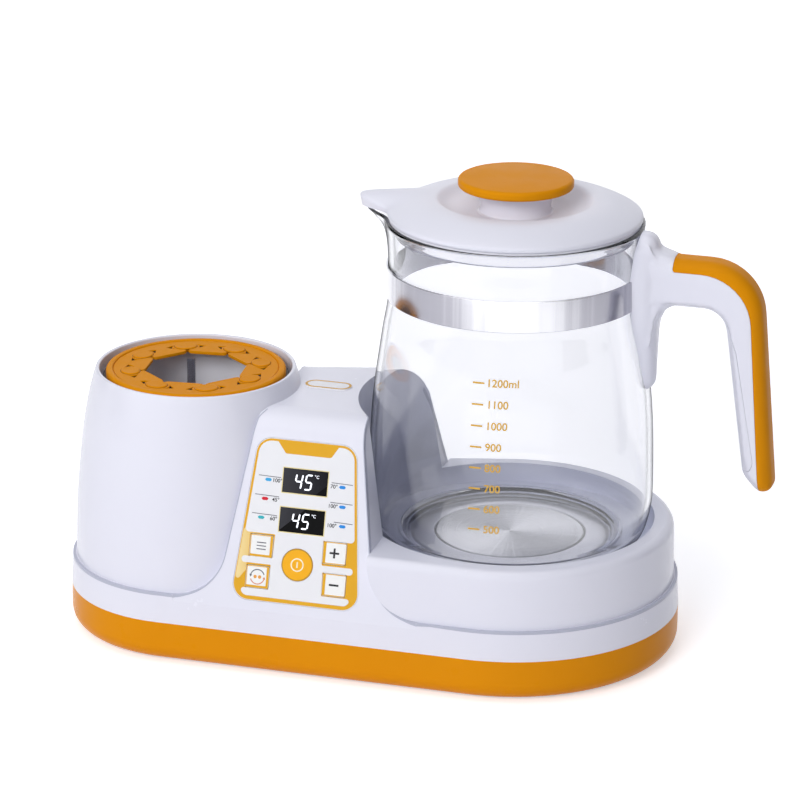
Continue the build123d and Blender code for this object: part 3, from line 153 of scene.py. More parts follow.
def turned(name, profile, axis, material, body, steps=144, closed=True, bump=None, sharp=35):
    """A piece turned from (radius, height) in millimetres; bump adds to a point's radius and height."""
    points, faces = [], []
    row = len(profile)
    for k in range(steps):
        angle = 2 * pi * k / steps
        for i, (radius, height) in enumerate(profile):
            more, lift = bump(radius, height, angle) if bump else (0.0, 0.0)
            reach = (radius + more) * MM
            points.append((axis.x + reach * cos(angle), axis.y + reach * sin(angle), (height + lift) * MM))
        this, other = k * row, (k + 1) % steps * row
        for i in range(row if closed else row - 1):
            j = (i + 1) % row
            faces.append((this + i, other + i, other + j, this + j))
    return place(name, points, faces, material, body, sharp)

# %% [markdown]
# Flat shapes, such as the printed panel and the grip disc, are drawn as closed loops: the first
# is the outside and the rest are holes.  A Blender curve fills them, gives them thickness and
# rounds their edges, and is then kept as a mesh.

# %% Helpers for flat shapes
def final_mesh(source):
    """A source's mesh as Blender shows it, curves filled and modifiers applied; the source is removed."""
    bpy.context.view_layer.update()
    mesh = bpy.data.meshes.new_from_object(source.evaluated_get(bpy.context.evaluated_depsgraph_get()))
    bpy.data.objects.remove(source)
    return mesh


def flat(name, loops, thickness, material, body, matrix=Matrix(), edge=0.0, steps=2):
    """A plate from closed loops in millimetres, its underside in the plane z = 0 of the matrix."""
    curve = bpy.data.curves.new(name, "CURVE")
    curve.dimensions = "2D"
    curve.fill_mode = "BOTH"
    curve.extrude = max(thickness * MM / 2 - edge * MM, 0.0)
    curve.bevel_depth = edge * MM
    curve.bevel_resolution = steps
    curve.offset = -edge * MM
    for loop in loops:
        spline = curve.splines.new("POLY")
        spline.points.add(len(loop) - 1)
        for point, (x, y) in zip(spline.points, loop):
            point.co = (x * MM, y * MM, 0, 1)
        spline.use_cyclic_u = True
    mesh = final_mesh(linked(name + "_source", curve))
    mesh.transform(matrix @ Matrix.Translation((0, 0, thickness * MM / 2)))
    return piece_of(name, softened(mesh, 30), material, body)


def circle(radius, x=0.0, y=0.0, steps=48):
    """A round loop about a middle."""
    turns = [2 * pi * k / steps for k in range(steps)]
    return [(x + radius * cos(turn), y + radius * sin(turn)) for turn in turns]


def box_loop(x, y, width, height, corner=0.0):
    """A rectangular loop about a middle, its corners rounded if a radius is given."""
    left, right, low, high = x - width / 2, x + width / 2, y - height / 2, y + height / 2
    loop = [(left, low), (right, low), (right, high), (left, high)]
    return rounded(loop, corner, 5) if corner else loop

# %% [markdown]
# Materials come next.  Colours are written as the eye reads them, in sRGB hex, and turned into
# the linear values that Blender's shaders add up.  Every material is a small node tree around
# one Principled shader, built with a single function that adds a node.

# %% Helpers for materials
def linear(code):
    """An sRGB hex colour as linear red, green, blue and a full alpha."""
    channels = [int(code[i:i + 2], 16) / 255 for i in (1, 3, 5)]
    return (*[c / 12.92 if c <= 0.04045 else ((c + 0.055) / 1.055) ** 2.4 for c in channels], 1.0)


def add(tree, kind, links=None, inputs=None, **settings):
    """Adds a node: settings are its own, inputs are socket values, and links say what feeds a socket: an
    output, or a node whose first output in use is meant."""
    node = tree.nodes.new("ShaderNode" + kind)
    for key, value in settings.items():
        setattr(node, key, value)
    for key, value in (inputs or {}).items():
        node.inputs[key].default_value = value
    for key, source in (links or {}).items():
        if isinstance(source, bpy.types.Node):
            source = next(output for output in source.outputs if output.enabled)
        tree.links.new(source, node.inputs[key])
    return node


def material(name):
    """An empty material: its tree and the output's socket that a shader goes into."""
    made = bpy.data.materials.new(name)
    made.use_nodes = True
    made.node_tree.nodes.clear()
    output = add(made.node_tree, "OutputMaterial")
    return made, made.node_tree, output.inputs["Surface"]


def any_ray(tree, *kinds):
    """1 for rays of the named kinds and 0 for all others."""
    paths = add(tree, "LightPath").outputs
    found = paths[f"Is {kinds[0]} Ray"]
    for kind in kinds[1:]:
        found = add(tree, "Math", {0: found, 1: paths[f"Is {kind} Ray"]}, operation="MAXIMUM")
    return found


def moulded(name, colour, roughness=0.22, grain_mm=0.5, grain=0.04, shade="#FFFFFF", spread=0.05, **sockets):
    """Moulded plastic with a fine grain, a slow flow variation in its colour and soft handling marks."""
    made, tree, surface = material(name)
    where = add(tree, "TexCoord").outputs["Object"]
    base = linear(colour)
    veiled = tuple(b + (o - b) * spread for b, o in zip(base, linear(shade)))
    flow = add(tree, "TexNoise", {"Vector": where}, {"Scale": 22.0, "Detail": 3.0})
    tone = add(tree, "Mix", {"Factor": flow}, {"A": base, "B": veiled}, data_type="RGBA")
    marks = add(tree, "TexNoise", {"Vector": where}, {"Scale": 60.0, "Detail": 6.0, "Roughness": 0.6})
    polish = add(tree, "MapRange", {"Value": marks},
                 {"From Min": 0.3, "From Max": 0.7, "To Min": roughness * 0.85, "To Max": roughness * 1.15})
    grains = add(tree, "TexNoise", {"Vector": where}, {"Scale": 1 / (grain_mm * MM), "Detail": 2.0})
    skin = add(tree, "Bump", {"Height": grains}, {"Strength": grain, "Distance": 0.05 * MM})
    shader = add(tree, "BsdfPrincipled", {"Base Color": tone, "Roughness": polish, "Normal": skin},
                 {"IOR": 1.52, **sockets})
    tree.links.new(shader.outputs["BSDF"], surface)
    return made

# %% [markdown]
# Most of the body is glossy white ABS.  The mould is polished, so the plastic shows soft, wide
# reflections; the pigment is a cool white.  The tray, the knob, the handle's back and the grip
# disc share one warm orange.

# %% Plastics
DULL = {"Specular IOR Level": 0.05}
abs_white = moulded("abs_cool_white_polished", "#EDEDF7", 0.24, 0.6, 0.03, "#DCDCEC", 0.25)
abs_white_satin = moulded("abs_cool_white_satin", "#EBEBF5", 0.36, 0.4, 0.05, "#DBDBEA", 0.25)
# Painted shade: the grey of the strip along the joint's step between skirt and upper shells.
joint_shade_grey = moulded("abs_joint_painted_shade_grey", "#BDBFCF", 0.34, 0.4, 0.04, "#B0B2C4", 0.3)
abs_orange = moulded("abs_orange_polished", "#E89608", 0.3, 0.6, 0.03, "#D9820F", 0.35,
                     **{"Specular IOR Level": 0.06})
abs_orange_satin = moulded("abs_orange_satin", "#E5950A", 0.42, 0.4, 0.06, "#CE7C12", 0.3, **DULL)
silicone_orange = moulded("silicone_orange_moulded", "#E2930C", 0.45, 0.3, 0.08, "#DC8812", 0.35, **DULL)
# Painted shade: a dark sheet laid inside the grip disc's pointed holes.
hole_painted_shade = moulded("silicone_umber_painted_hole_shade", "#120A06", 0.5, 0.3, 0.05, "#1E120A", 0.3, **DULL)
# Painted shade: thin dark rings for the grooves round the grip disc's islands.
groove_painted_shade = moulded("silicone_brown_painted_groove_shade", "#9A5A10", 0.5, 0.3, 0.05, "#8A4E0C", 0.3, **DULL)
silicone_white = moulded("silicone_milky_moulded", "#E4E4EA", 0.45, 0.3, 0.08, "#D4D4DE", 0.3)
nylon_black = moulded("nylon_black_moulded", "#1A1A1D", 0.45, 0.3, 0.10, "#2A2A2E", 0.4)
nylon_natural = moulded("nylon_natural_moulded", "#DCD9CF", 0.5, 0.3, 0.08)
rubber_grey = moulded("rubber_grey_moulded", "#9A9AA0", 0.75, 0.5, 0.25, "#86868C", 0.5)
basket_pp = moulded("polypropylene_cool_white", "#F0F1F8", 0.34, 0.5, 0.05, "#DDDEEC", 0.3)
print(len(bpy.data.materials), "plastics")

# %% [markdown]
# The metals differ in how they were finished.  The neck band is rolled and buffed stainless steel,
# almost a mirror with faint lines along it.  The heating plate is the brightest thing inside the
# kettle: it is spun, so its lines are rings about the kettle's axis, worked out from the distance
# to that axis.  The band and the plate also get light and dark sectors round their axis, mixed into
# the colour by the angle: painted reflection on the band and a painted highlight fan on the plate.
# The cup inside the well is drawn, and its lines run up the wall.

# %% Metals
def lined_steel(name, colour, roughness, stretch, lines_mm, depth, centre=(0, 0), polar=False,
                anisotropic=0.0, painted_sectors=None):
    """Metal with lines of a real spacing, straight or round a centre; painted_sectors gives the count, angle
    and dark hex of painted light and dark sectors.
    """
    made, tree, surface = material(name)
    where = add(tree, "TexCoord").outputs["Object"]
    from_axis = add(tree, "VectorMath", {0: where}, {1: (*centre, 0)}, operation="SUBTRACT")
    if polar:
        level = add(tree, "VectorMath", {0: from_axis}, {1: (1, 1, 0)}, operation="MULTIPLY")
        reach = add(tree, "VectorMath", {0: level}, operation="LENGTH")
        where = add(tree, "CombineXYZ", {"X": reach})
    squeeze = add(tree, "VectorMath", {0: where}, {1: stretch}, operation="MULTIPLY")
    lines = add(tree, "TexNoise", {"Vector": squeeze},
                {"Scale": 1 / (lines_mm * MM), "Detail": 4.0, "Roughness": 0.65})
    polish = add(tree, "MapRange", {"Value": lines},
                 {"From Min": 0.3, "From Max": 0.7, "To Min": roughness * 0.7, "To Max": roughness * 1.3})
    groove = add(tree, "Bump", {"Height": lines}, {"Strength": depth, "Distance": 0.02 * MM})
    around_axis = add(tree, "VectorMath", {1: from_axis}, {0: (0, 0, 1)}, operation="CROSS_PRODUCT")
    tangent = add(tree, "VectorMath", {0: around_axis}, operation="NORMALIZE")
    shader = add(tree, "BsdfPrincipled", {"Roughness": polish, "Normal": groove, "Tangent": tangent},
                 {"Base Color": linear(colour), "Metallic": 1.0, "Anisotropic": anisotropic})
    # Painted reflection: light and dark sectors round the axis, with streaks, mixed into the base colour by
    # the angle.
    if painted_sectors:
        count, angle, dark = painted_sectors
        split = add(tree, "SeparateXYZ", {"Vector": from_axis})
        turn = add(tree, "Math", {0: split.outputs["Y"], 1: split.outputs["X"]}, operation="ARCTAN2")
        shifted = add(tree, "Math", {0: turn}, {1: angle}, operation="SUBTRACT")
        times = add(tree, "Math", {0: shifted}, {1: count}, operation="MULTIPLY")
        wave = add(tree, "Math", {0: times}, operation="COSINE")
        ray = add(tree, "CombineXYZ", {"X": turn})
        rays = add(tree, "TexNoise", {"Vector": ray}, {"Scale": 14.0, "Detail": 5.0})
        painted_streak = add(tree, "MapRange", {"Value": rays},
                     {"From Min": 0.3, "From Max": 0.7, "To Min": -0.35, "To Max": 0.35})
        total = add(tree, "Math", {0: wave, 1: painted_streak}, operation="ADD")
        share = add(tree, "MapRange", {"Value": total}, {"From Min": -1.0, "From Max": 1.0},
                    interpolation_type="SMOOTHSTEP")
        tone = add(tree, "Mix", {"Factor": share}, {"A": linear(dark), "B": linear(colour)},
                   data_type="RGBA")
        tree.links.new(tone.outputs["Result"], shader.inputs["Base Color"])
    tree.links.new(shader.outputs["BSDF"], surface)
    return made


ISOTROPIC = (1, 1, 1)
# The band's four sectors are painted reflection; the plate's two are a painted highlight fan.
band_steel = lined_steel("stainless_rolled_and_buffed", "#EDEDF0", 0.18, (1, 1, 40), 40.0, 0.15, KETTLE,
                         painted_sectors=(4, -1.29, "#A9A8B0"))
cup_steel = lined_steel("stainless_deep_drawn", "#C9C9D0", 0.24, (60, 60, 1), 30.0, 0.25)
screw_steel = lined_steel("steel_zinc_plated", "#B9BAC2", 0.3, ISOTROPIC, 1.2, 0.3)
sheet_steel = lined_steel("steel_mill_finish", "#A8A9B0", 0.38, (1, 30, 30), 20.0, 0.3)
cast_aluminium = lined_steel("aluminium_die_cast", "#C4C5CA", 0.45, ISOTROPIC, 0.8, 0.6)
spun_steel = lined_steel("stainless_spun_plate", "#F4F4F6", 0.3, ISOTROPIC, 0.5, 0.35, KETTLE, True, 0.75,
                         painted_sectors=(2, 0.9, "#94959C"))
flange_steel = lined_steel("stainless_flange_bead_blasted", "#F1F1F8", 0.42, ISOTROPIC, 0.9, 0.25, KETTLE,
                           True, 0.2)
print(len(bpy.data.materials), "materials with the metals")

# %% [markdown]
# The kettle is borosilicate glass: clear, with a trace of grey, and an IOR of 1.47.  The clear
# collar under the lid is copolyester, a little whiter and rougher than glass.  Both let light on
# its way to a matt surface straight through, so that what stands behind them isn't in false shade.
# The body absorbs a little.  Where its wall is seen edge on, a mix by the facing angle paints a thin
# dark line: painted shade along the edge of the glass and of the collar.

# %% Glass and clear plastics
def clear(name, colour, roughness, ior, body_mm, absorbs):
    """Clear glass or plastic with faint smears and a slow swell from its moulding."""
    made, tree, surface = material(name)
    where = add(tree, "TexCoord").outputs["Object"]
    swell = add(tree, "TexNoise", {"Vector": where}, {"Scale": 1 / (body_mm * MM), "Detail": 1.0})
    wave = add(tree, "Bump", {"Height": swell}, {"Strength": 0.05, "Distance": 0.3 * MM})
    smear = add(tree, "TexNoise", {"Vector": where}, {"Scale": 40.0, "Detail": 5.0})
    polish = add(tree, "MapRange", {"Value": smear},
                 {"From Min": 0.45, "From Max": 0.75, "To Min": roughness, "To Max": roughness + 0.02})
    shader = add(tree, "BsdfPrincipled", {"Roughness": polish, "Normal": wave},
                 {"Base Color": linear(colour), "IOR": ior, "Transmission Weight": 1.0})
    # Painted shade: a dark tint mixed in where the wall is seen edge on.
    facing = add(tree, "LayerWeight", None, {"Blend": 0.5})
    edge = add(tree, "MapRange", {"Value": facing.outputs["Facing"]},
               {"From Min": 0.8, "From Max": 0.95, "To Max": 0.85})
    dark = add(tree, "BsdfTransparent", None, {"Color": linear("#5C5E68")})
    wall = add(tree, "MixShader", {0: edge, 1: shader, 2: dark})
    passed = add(tree, "BsdfTransparent", None, {"Color": linear("#F6F7FA")})
    either = add(tree, "MixShader", {0: any_ray(tree, "Shadow", "Diffuse"), 1: wall, 2: passed})
    tree.links.new(either.outputs["Shader"], surface)
    depth = add(tree, "VolumeAbsorption", None, {"Color": linear("#C9CCD2"), "Density": absorbs})
    tree.links.new(depth.outputs["Volume"], surface.node.inputs["Volume"])
    return made


kettle_clear = clear("borosilicate_glass_fire_polished", "#FDFDFE", 0.0, 1.47, 25.0, 55.0)
collar_clear = clear("copolyester_clear_moulded", "#F6F6F9", 0.06, 1.5, 12.0, 20.0)

# %% [markdown]
# The panel is a printed film over white plastic.  Its inks are plain semi-gloss colours: a warm
# gold that fades to pale yellow on one side, black windows, and small coloured lamps.

# %% Inks, windows and lamps
def ink(name, colour, roughness=0.35, fade=None, glow=0.0, **sockets):
    """A printed or moulded colour; fade is (hex colour, start, end) in metres along the object's X."""
    made, tree, surface = material(name)
    where = add(tree, "TexCoord").outputs["Object"]
    dots = add(tree, "TexNoise", {"Vector": where}, {"Scale": 1 / (0.4 * MM), "Detail": 2.0})
    polish = add(tree, "MapRange", {"Value": dots},
                 {"To Min": roughness * 0.85, "To Max": roughness * 1.15})
    shader = add(tree, "BsdfPrincipled", {"Roughness": polish},
                 {"IOR": 1.5, "Base Color": linear(colour), **sockets})
    if fade:
        other, start, stop = fade
        split = add(tree, "SeparateXYZ", {"Vector": where})
        along = add(tree, "MapRange", {"Value": split.outputs["X"]}, {"From Min": start, "From Max": stop})
        blend = add(tree, "Mix", {"Factor": along},
                    {"A": linear(colour), "B": linear(other)}, data_type="RGBA")
        tree.links.new(blend.outputs["Result"], shader.inputs["Base Color"])
    if glow:
        shader.inputs["Emission Color"].default_value = linear(colour)
        shader.inputs["Emission Strength"].default_value = glow
    tree.links.new(shader.outputs["BSDF"], surface)
    return made


MATT = {"Specular IOR Level": 0.12}
film_white = ink("polyester_film_white", "#F0F0F3", 0.3)
gold_ink = ink("screen_ink_gold", "#E6AC2A", **{"Specular IOR Level": 0.3})
gold_pale = ink("screen_ink_gold_fading", "#F6E0A2", fade=("#E8B136", CONSOLE_X - 0.027, CONSOLE_X - 0.015))
gold_line = ink("screen_ink_deep_gold", "#CF9A22")
pale_line = ink("screen_ink_cream", "#EFDFA6")
mark_gold = ink("glass_ink_gold", "#D8A93A", 0.4)
black_ink = ink("screen_ink_black", "#1B1B20")
grey_ink = ink("screen_ink_grey", "#5F606B")
window_black = ink("acrylic_window_smoked", "#060608", 0.12, **MATT)
digit_white = ink("display_segment_lit", "#F4F8FF", 0.4, glow=0.9)
# Painted reflection: the lighter patches over the display windows, fading along X.
window_painted_reflection = ink("acrylic_window_painted_reflection", "#3B3B40", 0.2, ("#141418", CONSOLE_X - 0.008, CONSOLE_X + 0.011),
                   **MATT)
power_mark = ink("screen_ink_white", "#FFF6D8")
mode_red = ink("screen_ink_red", "#D98A6A")
mode_amber = ink("screen_ink_amber", "#E9A24A")
LENS = {"blue": "#2787D6", "sky": "#3AA3D8", "teal": "#34A9B4", "red": "#C8142A"}
lamps = {hue: ink("lamp_lens_" + hue, code, 0.25, glow=0.12) for hue, code in LENS.items()}
key_white = moulded("polycarbonate_key_white", "#F8F8F6", 0.3, 0.4, 0.03)
key_orange = moulded("polycarbonate_key_amber", "#F9B408", 0.3, 0.4, 0.03, "#F7AE06", 0.3)
board_green = ink("solder_mask_green", "#1E5E3A", 0.4)
copper_film = ink("etched_heater_film_amber", "#B5672A")
tape_yellow = ink("polyester_tape_yellow", "#D9BC3C")
terminal_green = moulded("polyamide_terminal_green", "#2C8A4E", 0.4)
print(len(bpy.data.materials), "materials")

# %% [markdown]
# The imported nodes come with plain slots.  Each gets the finish of the real part: glossy shells,
# drawn and zinc-plated steel, a green board, rubber feet.  One table says which nodes share one.

# %% Dress the frame's own nodes
FINISHES = [
    (abs_white, "housing warmer_tower kettle_cradle handle_body knob_stem"), (abs_orange, "base_tray"),
    (abs_white_satin, "cord_gland handle_pad lid_plate"), (abs_orange_satin, "handle_inlay knob_cap"),
    (rubber_grey, "rubber_feet"), (silicone_white, "cup_seal plate_seal lid_seal"),
    (silicone_orange, "grip_disc"), (cup_steel, "warming_cup"), (basket_pp, "bottle_basket"),
    (screw_steel, "case_screws board_screws power_board_screws handle_screw lid_screw"),
    (sheet_steel, "cup_heater_bracket heating_element element_clamp"), (copper_film, "cup_heater"),
    (spun_steel, "heating_plate"), (cast_aluminium, "heat_spreader"), (window_black, "display_windows"),
    (nylon_black, "cup_thermistor plate_thermistor thermal_cutout display_modules tact_switches"),
    (nylon_black, "heater_relays smoothing_capacitor"), (nylon_natural, "board_posts ribbon_cable"),
    (film_white, "panel_overlay light_guides indicator_leds deck_badge"), (key_orange, "power_key"),
    (key_white, "function_key mode_key plus_key minus_key"), (board_green, "control_board power_board"),
    (tape_yellow, "transformer"), (terminal_green, "terminal_block"), (kettle_clear, "kettle_glass"),
    (band_steel, "neck_band"), (collar_clear, "lid_collar"),
]
dressed = set()
for finish, nodes in FINISHES:
    for node in nodes.split():
        dressed.add(node)
        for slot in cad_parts[node].material_slots:
            slot.material = finish
print(len(dressed), "nodes dressed, not dressed:", sorted(set(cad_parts) - dressed))

# %% [markdown]
# Hollow glass and soft profiles look right only when the curve is smooth.  A Catmull-Rom line
# runs through a few real radii and adds the points between them; a second helper moves the line
# inwards by the wall's thickness, which gives the inner surface.

# %% Helpers for smooth profiles
def smooth_line(points, parts=5):
    """More points along a smooth curve through the given ones."""
    ends = [Vector(p) for p in (points[0], *points, points[-1])]
    line = []
    for a, b, c, d in zip(ends, ends[1:], ends[2:], ends[3:]):
        for t in [k / parts for k in range(parts)]:
            line.append(tuple(0.5 * (
                2 * b + (c - a) * t + (2 * a - 5 * b + 4 * c - d) * t * t + (3 * b - a - 3 * c + d) * t ** 3
            )))
    return line + [tuple(points[-1])]


def moved_in(line, thickness):
    """The line shifted to its left by a thickness."""
    shifted = []
    for point, last, following in zip(line, line[:1] + line, line[1:] + line[-1:]):
        along = (Vector(following) - Vector(last)).normalized()
        shifted.append((point[0] - along.y * thickness, point[1] + along.x * thickness))
    return shifted

# %% [markdown]
# The spout is pulled out of the rim towards the well.  Its reach fades to both sides and down
# the neck, so one function serves the glass and the cover that the lid holds over it.

# %% Spout shape
LIP_HALF_ANGLE, LIP_LIFT, LIP_FROM = radians(10.0), 0.5, 188
BEAK_HALF_ANGLE = radians(8.6)
SPOUT_REACH = [(160, 0.0), (168, 0.7), (174, 1.1), (180, 1.9), (183, 2.7), (186, 4.4), (188.5, 7.4),
               (191, 11.0)]


def pull(angle, half_angle):
    """1 on the spout's middle line, blunt at the tip and falling smoothly to 0 at its sides."""
    return exp(-(abs(angle - pi) / half_angle) ** 2.3)


def between(table, value):
    """The table's second column at a value of its first."""
    if value <= table[0][0]:
        return table[0][1]
    for (x0, y0), (x1, y1) in zip(table, table[1:]):
        if value <= x1:
            return y0 + (y1 - y0) * (value - x0) / (x1 - x0)
    return table[-1][1]


def spout_bump(radius, height, angle):
    """The glass's reach towards the spout, and a little lift at its lip."""
    share = pull(angle, LIP_HALF_ANGLE)
    return between(SPOUT_REACH, height) * share, (LIP_LIFT * share if height > LIP_FROM else 0.0)


# %% [markdown]
# The kettle is one blown and pressed vessel: a thick pushed-up foot, a belly that narrows to the
# neck, and a fire-polished rim.  A turned mesh with a real wall is the right way, because clear
# glass shows both its surfaces and every uneven step between them.

# %% Kettle glass
GLASS_WALL = 2.2
belly = smooth_line([
    (51.2, 48.8), (54.8, 50.0), (57.8, 53.4), (59.6, 58.4), (60.9, 65), (61.3, 72), (61.15, 84), (60.7, 98),
    (59.9, 110), (58.7, 121), (57.2, 132), (55.7, 142.5), (54.2, 151), (53.5, 157), (53.5, 165), (53.5, 171),
    (53.7, 177), (54.2, 184), (54.9, 189.3),
])
rim = [(54.95, 190.0), (54.5, 190.5), (53.8, 190.7), (53.1, 190.5), (52.75, 190.0)]
inside = [p for p in reversed(moved_in(belly, GLASS_WALL)) if p[1] > 57]
underside = [(0, 50.6), (30, 50.5), (43.5, 50.2), (45.6, 49.7), (46.8, 49.0), (48.2, 48.8)]
ridge = [(57.0, 56.2), (55.6, 53.9), (53.0, 52.4), (49.4, 51.9), (48.9, 52.0), (48.5, 52.5), (47.8, 52.6),
         (47.2, 52.3), (46.8, 51.9), (40, 51.9), (0, 51.9)]
glass = turned("kettle_vessel", underside + belly + rim + inside + ridge, KETTLE, kettle_clear, "kettle", 360,
               False, spout_bump, 50)
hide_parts("kettle_glass")
print("vessel", len(glass.data.vertices), "points")

# %% [markdown]
# A steel band is shrunk round the neck.  Its edges are rolled in, which puts a thin bright line
# along each of them.

# %% Neck band
band = [(53.75, 157.5), (54.2, 157.5), (54.45, 157.7), (54.5, 158.1), (54.5, 170.3), (54.45, 170.7),
        (54.2, 170.9), (53.75, 170.9)]
neck = turned("neck_band_rolled", band, KETTLE, band_steel, "kettle", 192)
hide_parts("neck_band")
print("band", len(neck.data.vertices), "points")

# %% [markdown]
# The lid is a shallow dish.  Its top falls gently from the rim of the dish to the outer edge, and
# the cover over the spout is drawn out of the same surface, so it is turned with a bump of its own.

# %% Lid
BEAK_REACH, BEAK_LIFT, BEAK_FROM, BEAK_RUN, LID_UNDER = 14.2, 3.2, 36, 18, 192
lid_top = smooth_line([(34.5, 199.7), (40, 199.15), (46, 197.3), (51, 195.1), (53.2, 193.9)], 4)
lid_dish = [(0, 194.2), (17.0, 194.2), (22.0, 194.5), (26.5, 195.3), (29.5, 196.6), (31.5, 198.2),
            (32.7, 199.35), (33.5, 199.68)]
lid_under = [(53.8, 193.4), (54.0, 192.8), (53.95, 192.1), (53.6, 191.6), (53.0, 191.4), (47.2, 191.4),
             (46.6, 191.6), (46.4, 193.6), (34.0, 197.4), (29.0, 194.6), (23.0, 192.8), (17.0, 192.4),
             (0, 192.4)]


def beak_bump(radius, height, angle):
    """The cover's reach over the spout, with its top drawn upwards."""
    share = pull(angle, BEAK_HALF_ANGLE)
    rise = min(1.0, max(0.0, (radius - BEAK_FROM) / BEAK_RUN)) ** 1.4
    return BEAK_REACH * share * rise, (BEAK_LIFT * share * rise if height > LID_UNDER else 0.0)


lid_line = lid_dish + lid_top + lid_under
lid = turned("lid_dish", lid_line, KETTLE, abs_white_satin, "lid", 360, False, beak_bump, 40)
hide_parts("lid_plate")

collar_line = [(48.9, 191.4), (48.9, 185.2), (49.2, 184.8), (50.4, 184.8), (50.75, 185.2), (50.75, 186.4),
               (50.5, 186.9), (50.5, 191.4)]
collar = turned("lid_collar_lipped", collar_line, KETTLE, collar_clear, "lid", 144)
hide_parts("lid_collar")
print("lid", len(lid.data.vertices), "points, collar", len(collar.data.vertices))

# %% [markdown]
# The knob is two mouldings: a white stem that flares like a trumpet, and an orange cap with a
# flat top and a small radius all round.

# %% Knob
cap_line = rounded([(0, 208.8), (24.5, 208.8), (24.5, 204.8), (18.9, 204.8), (18.9, 205.2), (0, 205.2)],
                   [0, 1.5, 1.2, 0.2, 0, 0], 5)
cap = turned("knob_cap_round", cap_line, KETTLE, abs_orange_satin, "lid", 144, False)
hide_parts("knob_cap")
stem_line = [(0, 194.25), (16.4, 194.25), (15.5, 194.6), (15.1, 195.4)] + smooth_line(
    [(15.0, 197.2), (15.5, 199.8), (16.7, 202.3), (18.6, 204.9)], 4) + [(0, 204.9)]
stem = turned("knob_stem_flared", stem_line, KETTLE, abs_white, "lid", 144, False)
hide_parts("knob_stem")
print("knob", len(cap.data.vertices), "points in the cap,", len(stem.data.vertices), "in the stem")

# %% [markdown]
# The handle is a soft, thick form: a blade along the glass, an arm, and a leaning grip, melted
# into each other.  Each part is drawn as a side outline with rounded flanks; the parts are then
# remeshed into one skin and smoothed, and cut apart along the real parting lines.

# %% Helpers for soft blocks and cuts
def pillow(outline, half, edge, matrix, steps=8):
    """Points and faces of a block from a smooth outline in millimetres, its flanks rounded by edge."""
    area = sum(a[0] * b[1] - b[0] * a[1] for a, b in zip(outline, outline[1:] + outline[:1]))
    turn = 1 if area > 0 else -1
    inward = []
    for last, following in zip(outline[-1:] + outline, outline[1:] + outline[:1]):
        along = (Vector(following) - Vector(last)).normalized()
        inward.append(Vector((-along.y, along.x)) * turn)
    angles = [pi / 2 * (1 - k / steps) for k in range(steps + 1)]
    points = []
    for side, order in ((-1, angles), (1, reversed(angles))):
        for angle in order:
            depth, height = edge * (1 - cos(angle)), side * (half - edge + edge * sin(angle))
            for corner, normal in zip(outline, inward):
                spot = Vector(corner) + normal * depth
                points.append(matrix @ Vector((spot.x * MM, spot.y * MM, height * MM)))
    return points, tube(2 * steps + 2, len(outline))


def densely(outline, spacing=1.5):
    """The closed outline with points no further apart than the spacing."""
    result = []
    for a, b in zip(outline, outline[1:] + outline[:1]):
        parts = max(1, int((Vector(b) - Vector(a)).length / spacing))
        result += [tuple(Vector(a).lerp(Vector(b), k / parts)) for k in range(parts)]
    return result


def melted(name, solids, voxel, passes):
    """The mesh of one smooth skin round several closed solids."""
    work = bmesh.new()
    for points, faces in solids:
        corners = [work.verts.new(p) for p in points]
        for face in faces:
            work.faces.new([corners[i] for i in face])
    bmesh.ops.recalc_face_normals(work, faces=work.faces)
    mesh = bpy.data.meshes.new(name)
    work.to_mesh(mesh)
    work.free()
    source = linked(name + "_source", mesh)
    remesh = source.modifiers.new("skin", "REMESH")
    remesh.mode = "VOXEL"
    remesh.voxel_size = voxel * MM
    smooth = source.modifiers.new("soften", "SMOOTH")
    smooth.factor = 0.5
    smooth.iterations = passes
    return final_mesh(source)


def carve(name, tools, operation, material):
    """A copy of the handle's form, cut by or cut to the tools; it rides on the kettle."""
    source = linked(name + "_source", handle_form.data.copy())
    for tool in tools:
        cut = source.modifiers.new("cut", "BOOLEAN")
        cut.operation = operation
        cut.object = tool
        cut.solver = "EXACT"
    piece = piece_of(name, softened(final_mesh(source), 40), material, "kettle")
    return piece


def hidden(tool):
    """Keeps a shape that only serves to cut others out of the picture."""
    tool.hide_render = True
    return tool


def prism(name, outline, matrix, half=20):
    """A plain closed block used only as a cutting tool."""
    points = [matrix @ Vector((x * MM, y * MM, h * MM)) for h in (-half, half) for x, y in outline]
    return hidden(place(name, points, tube(2, len(outline)), abs_white))

# %% [markdown]
# The side outlines are drawn outwards from the kettle's axis; the blade that lies on the glass is
# drawn from the front.  All three are then melted into one skin, which is only a form to cut from.

# %% Handle form
side_view = Matrix.Translation((KETTLE.x, KETTLE.y, 0)) @ Matrix.Rotation(radians(90), 4, "X")
front_view = Matrix.Translation((KETTLE.x, KETTLE.y, 0)) @ Matrix(
    ((0, 0, 1, 0), (1, 0, 0, 0), (0, 1, 0, 0), (0, 0, 0, 1)))
BLADE_REACH = 54.4
grip = rounded([(57, 180.7), (106.3, 180.7), (115.2, 82.0), (109.0, 80.8), (101.8, 88.6), (91.6, 160.0),
                (57, 160.0)], [0, 24, 3.4, 4.5, 9, 10, 0], 10)
root = rounded([(57, 188), (64, 183.2), (72, 180.7), (72, 160.2), (66.5, 158.2), (63.6, 152), (62.0, 142),
                (57, 140)], [0, 4, 5, 5, 6, 4, 4, 0], 6)
blade = rounded([(-11, 171), (-8.8, 183), (-4, 190), (4, 190), (8.8, 183), (11, 171), (9.6, 150),
                 (4.4, 122.5), (0, 119.4), (-4.4, 122.5), (-9.6, 150)],
                [7, 8, 5, 5, 8, 7, 20, 4, 3, 4, 20], 5)
solids = [pillow(densely(grip), 9.0, 6.2, side_view), pillow(densely(root), 8.0, 5.5, side_view),
          pillow(densely(blade), 8.4, 6.0, front_view @ Matrix.Translation((0, 0, BLADE_REACH * MM)))]
